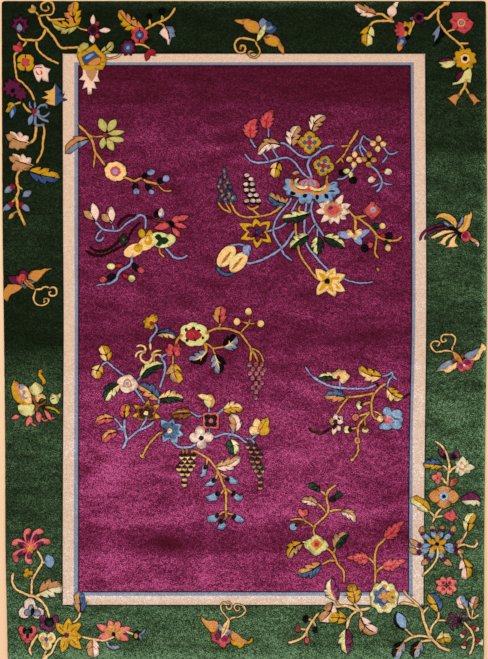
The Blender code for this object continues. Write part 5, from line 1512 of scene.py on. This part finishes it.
def triangulated(loop, edgeSets, points):    # inside loop, with the edge sets kept as edges
    places = [tuple(p) for p in loop]
    lines = [(k, (k + 1) % len(loop)) for k in range(len(loop))]
    index = {}
    for first, second in edgeSets:
        for a, b in zip(np.round(first, 3), np.round(second, 3)):
            pair = []
            for p in (tuple(a), tuple(b)):
                if p not in index:
                    index[p] = len(places)
                    places.append(p)
                pair.append(index[p])
            if pair[0] != pair[1]:
                lines.append(tuple(pair))
    places.extend(tuple(p) for p in points)
    flat = [Vector((across, -down)) for across, down in places]
    verts, _, faces, origins = delaunay_2d_cdt(flat, lines, [], 1, rug["together"])[:4]
    loopNow = np.full(len(loop), -1)    # where the loop's own points are now
    for k, origin in enumerate(origins):
        for n in origin:
            if n < len(loop):
                loopNow[n] = k
    return np.array([(v[0], -v[1]) for v in verts]), np.array([f for f in faces if len(f) == 3]), loopNow


def grid():                            # jittered points over the plain ground, clear of every outline
    rng = np.random.default_rng(rug["seed"])
    step, (fromRim, fromOutline) = rug["gridStep"], rug["gridClear"]
    wide, high = rug["gridSpan"]
    across, down = np.meshgrid(np.arange(0, wide, step), np.arange(0, high, step * rug["gridRow"]))
    across = across + (np.arange(len(across)) % 2)[:, None] * step / 2
    places = np.stack([across.ravel(), down.ravel()], axis=1)
    places += rng.uniform(-rug["gridJitter"], rug["gridJitter"], places.shape) * step
    places = places[windings(places, edge - outward * (rug["rimRound"] + fromRim)) != 0]
    return places[distances(allTree, places) > fromOutline]


def shoulders():                       # where the pile starts to dip towards a carved line
    sets, half = [], rug["grooveHalf"]
    for sign in (1, -1):
        first = starts[carved] + sides[carved] * sign * half
        second = ends[carved] + sides[carved] * sign * half
        clear = [distances(carvedTree, places) > half * rug["shoulderClear"] for places in (first, second)]
        clear = clear[0] & clear[1]
        sets.append((first[clear], second[clear]))
    return sets


shoulderSets = shoulders()
topPlaces, topFaces, topLoop = triangulated(rimLoop, [(starts, ends)] + shoulderSets, grid())
print("top", len(topPlaces), "points", len(topFaces), "triangles")

backStarts, backEnds, _, _ = visibleEdges(rug["backStep"], rug["backFlatness"])
backEdge = edge - outward * rug["backInset"]
backPlaces, backFaces, backLoop = triangulated(backEdge, [(backStarts, backEnds)], np.zeros((0, 2)))
print("back", len(backPlaces), "points", len(backFaces), "triangles")


def smoothNoise(places, size, seed):   # soft waves, from -1 to 1
    rng = np.random.default_rng(seed)
    total = np.zeros(len(places))
    for _ in range(6):
        angle, phase = rng.uniform(0, np.pi), rng.uniform(0, 2 * np.pi)
        length = size * rng.uniform(0.7, 1.5)
        along = places[:, 0] * np.cos(angle) + places[:, 1] * np.sin(angle)
        total += np.sin(along * 2 * np.pi / length + phase)
    return total / 6


def onRug(places, heights):            # chart places as metres
    return np.stack([(places[:, 0] - middle[0]) * mark, (middle[1] - places[:, 1]) * mark, heights], axis=1)


def lightness(places):                 # how far the tone lies from dark to pale, 0 to 1: abrash and painted light
    across, down = places.T
    grounds = (np.array(abrashAndSheen[name]).T for name in ("field", "greenLeft", "greenRight"))
    field, left, right = (np.interp(down, *curve) for curve in grounds)
    share = np.clip(across / chart["wide"], 0, 1)
    loop = bandLoop(*bands["blueLine"])
    drift = np.where(windings(places, loop) != 0, field, left * (1 - share) + right * share)
    for x, y, halfWide, halfHigh, amount in abrashAndSheen["patches"]:
        drift += amount * np.exp(-((across - x) / halfWide) ** 2 - ((down - y) / halfHigh) ** 2)
    return np.clip(drift, 0, 1)


def linear(hexText):
    parts = np.array([int(hexText[k:k + 2], 16) / 255 for k in (0, 2, 4)])
    return np.where(parts <= 0.04045, parts / 12.92, ((parts + 0.055) / 1.055) ** 2.4)


def belt(upper, lower):                # triangles between two rings of points, the upper one outside in
    a, b, c, d = upper, np.roll(upper, -1), np.roll(lower, -1), lower
    return [np.stack([a, d, b], axis=1), np.stack([b, d, c], axis=1)]


carve = np.clip(1 - distances(carvedTree, topPlaces) / rug["grooveHalf"], 0, 1)
waves = (smoothNoise(topPlaces, length, k) for k, length in enumerate(rug["rippleLengths"]))
ripple = sum(waves) * rug["ripple"]
ripple[topLoop] = 0                    # the edge stays level
topHeights = top - carve * rug["grooveDepth"] + ripple

places, heights, carves = [topPlaces], [topHeights], [carve]
faces = [topFaces]
ringNow, countNow = topLoop, len(topPlaces)
wobbleLength, wobbleHeight = rug["rimWobble"]
wobble = smoothNoise(edge, wobbleLength, 5) * wobbleHeight
for turn in np.linspace(0, np.pi / 2, rug["rimSteps"] + 1)[1:]:
    ring = edge - outward * (rug["rimRound"] * (1 - math.sin(turn)) + wobble[:, None] * math.sin(turn))
    places.append(ring)
    heights.append(np.full(len(ring), top - rug["rimRound"] * mark * (1 - math.cos(turn))))
    carves.append(np.zeros(len(ring)))
    fresh = countNow + np.arange(len(ring))
    faces += belt(ringNow, fresh)
    ringNow, countNow = fresh, countNow + len(ring)
places.append(backPlaces)
heights.append(np.zeros(len(backPlaces)))
carves.append(np.zeros(len(backPlaces)))
faces += belt(ringNow, countNow + backLoop)
upperFaces = sum(len(f) for f in faces)
faces.append(backFaces[:, ::-1] + countNow)
places, heights, carves, faces = (np.concatenate(x) for x in (places, heights, carves, faces))

centres = places[faces].mean(axis=1)
dyeNumber = dyeAt(centres)
isTop = np.arange(len(faces)) < len(topFaces)
nearCut = distances(carvedTree, centres) < rug["grooveHalf"] * rug["shadeHalf"]
shadedGrooveStrip = isTop & np.isin(dyeNumber, groundDyes) & nearCut
# each face's dark and pale tone; the pale one is partly painted light, the dark one partly painted shade
darkDyeAndShade = np.array([linear(dyes[name][0]) for name in dyeNames])[dyeNumber]
paleDyeLitAndShaded = np.array([linear(dyes[name][1]) for name in dyeNames])[dyeNumber]
# painted shade: ground faces beside a carved line are darkened for the groove's shadow
darkDyeAndShade[shadedGrooveStrip] *= rug["paintedGrooveShade"]
paleDyeLitAndShaded[shadedGrooveStrip] *= rug["paintedGrooveShade"]


def meshOf(name, verts, faces):
    mesh = bpy.data.meshes.new(name)
    mesh.vertices.add(len(verts))
    mesh.vertices.foreach_set("co", np.asarray(verts, "f").ravel())
    mesh.loops.add(faces.size)
    mesh.loops.foreach_set("vertex_index", faces.astype("i").ravel())
    mesh.polygons.add(len(faces))
    mesh.polygons.foreach_set("loop_start", (np.arange(len(faces)) * 3).astype("i"))
    mesh.update(calc_edges=True)
    made = bpy.data.objects.new(name, mesh)
    bpy.context.scene.collection.objects.link(made)
    return made


def paint(mesh, name, colours):        # one colour to each triangle
    rgba = np.concatenate([colours, np.ones((len(colours), 1))], axis=1)
    layer = mesh.color_attributes.new(name, "FLOAT_COLOR", "CORNER")
    layer.data.foreach_set("color", np.repeat(rgba, 3, axis=0).astype("f").ravel())


def setNumbers(mesh, name, values):    # one number to each point
    mesh.attributes.new(name, "FLOAT", "POINT").data.foreach_set("value", np.asarray(values, "f"))


pileRug = meshOf("pileRug", onRug(places, heights), faces)
paint(pileRug.data, "dyeDarkAndShade", darkDyeAndShade)
paint(pileRug.data, "dyePaleLitAndShaded", paleDyeLitAndShaded)
setNumbers(pileRug.data, "carve", carves)
setNumbers(pileRug.data, "abrashAndSheen", lightness(places))
pileRug.data.polygons.foreach_set("material_index", (np.arange(len(faces)) >= upperFaces).astype("i"))
pileRug.data.polygons.foreach_set("use_smooth", np.ones(len(faces), bool))
pileRug.data.set_sharp_from_angle(angle=math.radians(rug["sharpAngle"]))
print("rug", len(faces), "triangles")


def addNode(tree, kind, inputs=(), **settings):
    made = tree.nodes.new(kind)
    for name, value in settings.items():
        setattr(made, name, value)
    for name, value in dict(inputs).items():
        if isinstance(value, bpy.types.NodeSocket):
            tree.links.new(value, made.inputs[name])
        else:
            made.inputs[name].default_value = value
    return made


def maths(tree, operation, a, b=0.0, clamp=False):
    return addNode(tree, "ShaderNodeMath", {0: a, 1: b}, operation=operation, use_clamp=clamp).outputs[0]


def mixed(tree, factor, a, b, blend="MIX"):
    inputs = {0: factor, 6: a, 7: b}
    return addNode(tree, "ShaderNodeMix", inputs, data_type="RGBA", blend_type=blend).outputs[2]


def signed(tree, value, spread):       # from -1 to 1 over the spread
    inputs = {0: value, 1: spread[0], 2: spread[1], 3: -1.0, 4: 1.0}
    return addNode(tree, "ShaderNodeMapRange", inputs).outputs[0]


def noise(tree, place, scale, detail, rough=0.5):
    inputs = {"Vector": place, "Scale": scale, "Detail": detail, "Roughness": rough}
    return addNode(tree, "ShaderNodeTexNoise", inputs).outputs[0]


def scaled(tree, place, stretch):
    return addNode(tree, "ShaderNodeVectorMath", {0: place, 1: stretch}, operation="MULTIPLY").outputs[0]


def newGroup(name, inputs, outputs):
    group = bpy.data.node_groups.new(name, "ShaderNodeTree")
    for label, kind, default in inputs:
        socket = group.interface.new_socket(label, in_out="INPUT", socket_type="NodeSocket" + kind)
        if default is not None:
            socket.default_value = default
    for label, kind in outputs:
        group.interface.new_socket(label, in_out="OUTPUT", socket_type="NodeSocket" + kind)
    given, result = group.nodes.new("NodeGroupInput"), group.nodes.new("NodeGroupOutput")
    return group, given.outputs, result.inputs


def tuftGroup():                       # cut yarn ends in rows: how light each is, and how high it stands
    inputs = [("Place", "Vector", None), ("Size", "Float", 0.006), ("Contrast", "Float", 1.0)]
    outputs = [("Lightness", "Float"), ("Height", "Float")]
    group, given, result = newGroup("tuftSpeckle", inputs, outputs)
    wide = scaled(group, given["Place"], yarn["stretch"])
    turning = {"Vector": wide, "Angle": yarn["turn"]}
    rows = addNode(group, "ShaderNodeVectorRotate", turning, rotation_type="Z_AXIS").outputs[0]
    scale = maths(group, "DIVIDE", 1.0, given["Size"])
    ends = noise(group, rows, scale, 2.0, 0.65)
    clumps = noise(group, rows, maths(group, "MULTIPLY", scale, yarn["clump"]), 2.0)
    both = maths(group, "ADD", maths(group, "MULTIPLY", ends, yarn["endShare"]),
                 maths(group, "MULTIPLY", clumps, yarn["clumpShare"]))
    spread = maths(group, "MULTIPLY", signed(group, both, yarn["spread"]), given["Contrast"])
    group.links.new(maths(group, "ADD", 1.0, spread), result["Lightness"])
    group.links.new(both, result["Height"])
    return group


def driftGroup():                      # abrash and painted sheen: the tone drifts from dark to pale in clouds and rows, with a painted glint
    inputs = [("Place", "Vector", None), ("Dark", "Color", None), ("Pale", "Color", None),
              ("Drift", "Float", 0.5), ("Clouds", "Float", 0.3), ("Lightness", "Float", 1.0)]
    group, given, result = newGroup("toneDriftAndSheen", inputs, [("Color", "Color")])
    rows = scaled(group, given["Place"], dyeAndSheen["stretch"])
    wide = noise(group, rows, dyeAndSheen["wideScale"], 5.0, 0.62)
    small = noise(group, rows, dyeAndSheen["smallScale"], 4.0, 0.6)
    both = signed(group, maths(group, "ADD", wide, small), dyeAndSheen["spread"])
    clouded = maths(group, "ADD", 1.0, maths(group, "MULTIPLY", both, given["Clouds"]))
    drift = maths(group, "MULTIPLY", given["Drift"], clouded)
    amount = maths(group, "MULTIPLY", drift, given["Lightness"], True)
    dyed = mixed(group, maths(group, "POWER", amount, dyeAndSheen["power"]), given["Dark"], given["Pale"])
    # painted highlight: the brightest yarn ends are mixed towards white
    glint = mixed(group, dyeAndSheen["glint"], given["Pale"], (1.0, 1.0, 1.0, 1.0))
    bright = maths(group, "POWER", amount, dyeAndSheen["glintPower"])
    bright = maths(group, "MULTIPLY", bright, dyeAndSheen["glintShare"])
    group.links.new(mixed(group, bright, dyed, glint), result["Color"])
    return group


def useGroup(tree, group, **inputs):
    return addNode(tree, "ShaderNodeGroup", node_tree=group, inputs=inputs).outputs


tuftSpeckle, toneDriftAndSheen = tuftGroup(), driftGroup()


def painted(tree, name, output):       # what the mesh carries under this name
    return addNode(tree, "ShaderNodeAttribute", attribute_name=name).outputs[output]


def woolMaterial(name, look):
    made = bpy.data.materials.new(name)
    made.use_nodes = True
    tree = made.node_tree
    shader = tree.nodes["Principled BSDF"]
    place = addNode(tree, "ShaderNodeTexCoord").outputs["Object"]
    dark, pale = painted(tree, "dyeDarkAndShade", "Color"), painted(tree, "dyePaleLitAndShaded", "Color")
    drift, cut = painted(tree, "abrashAndSheen", "Fac"), painted(tree, "carve", "Fac")
    tufts = useGroup(tree, tuftSpeckle, Place=place, Size=look["tuft"], Contrast=look["contrast"])
    dyed = useGroup(tree, toneDriftAndSheen, Place=place, Dark=dark, Pale=pale, Drift=drift,
                    Clouds=look["clouds"], Lightness=tufts["Lightness"])["Color"]
    # painted shade: the colour darkens towards the bottom of each carved line
    inCut = maths(tree, "SUBTRACT", 1.0, maths(tree, "MULTIPLY", cut, look["paintedCutShade"]))
    grain = maths(tree, "MULTIPLY", tufts["Lightness"], look["grain"])
    grain = maths(tree, "ADD", 1 - look["grain"], grain)
    shade = maths(tree, "MULTIPLY", inCut, grain)
    grey = addNode(tree, "ShaderNodeCombineColor", {0: shade, 1: shade, 2: shade}).outputs[0]
    tree.links.new(mixed(tree, 1.0, dyed, grey, "MULTIPLY"), shader.inputs["Base Color"])
    standing = {"Strength": look["bump"], "Distance": look["pile"], "Height": tufts["Height"]}
    tree.links.new(addNode(tree, "ShaderNodeBump", standing).outputs[0], shader.inputs["Normal"])
    shader.inputs["Roughness"].default_value = yarn["rough"]
    shader.inputs["Specular IOR Level"].default_value = yarn["specular"]
    return made


woolPile = woolMaterial("woolPile", wool)
knottedBack = woolMaterial("knottedBack", back)
for made in (woolPile, knottedBack):
    pileRug.data.materials.append(made)
print("wool dyed")

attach(pileRug, "root")
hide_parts("pile_rug")

bpy.ops.mesh.primitive_plane_add(size=room["floorSize"], location=(0, 0, room["floorHeight"]))
floor = bpy.context.object
floor.name = "floor"
plain = bpy.data.materials.new("plainFloor")
plain.use_nodes = True
floorShader = plain.node_tree.nodes["Principled BSDF"]
floorShader.inputs["Base Color"].default_value = (*linear(room["floorColour"]), 1)
floorShader.inputs["Roughness"].default_value = room["floorRough"]
floor.data.materials.append(plain)

scene = bpy.context.scene
scene.world = bpy.data.worlds.new("studio")
scene.world.use_nodes = True
sky = scene.world.node_tree.nodes["Background"]
sky.inputs["Color"].default_value = (*room["sky"], 1)
sky.inputs["Strength"].default_value = room["skyStrength"]
lampData = bpy.data.lights.new("softLight", "AREA")
lampData.shape, lampData.size, lampData.size_y = "RECTANGLE", *room["lampSize"]
lampData.energy = room["lampPower"]
lamp = bpy.data.objects.new("softLight", lampData)
lamp.location = room["lampPlace"]
lamp.rotation_euler = (-Vector(room["lampPlace"])).to_track_quat("-Z", "Y").to_euler()
scene.collection.objects.link(lamp)
scene.view_settings.view_transform = "Standard"

camera = bpy.data.objects.new("camera", bpy.data.cameras.new("camera"))
camera.data.sensor_fit, camera.data.sensor_height = "VERTICAL", room["sensor"]
camera.data.lens = room["sensor"] * room["cameraHeight"] / (room["photoHigh"] * mark)
camera.location = ((room["photoWide"] / 2 - middle[0]) * mark, (middle[1] - room["photoHigh"] / 2) * mark,
                   top + room["cameraHeight"])
scene.collection.objects.link(camera)
scene.camera = camera
print("room and camera set")
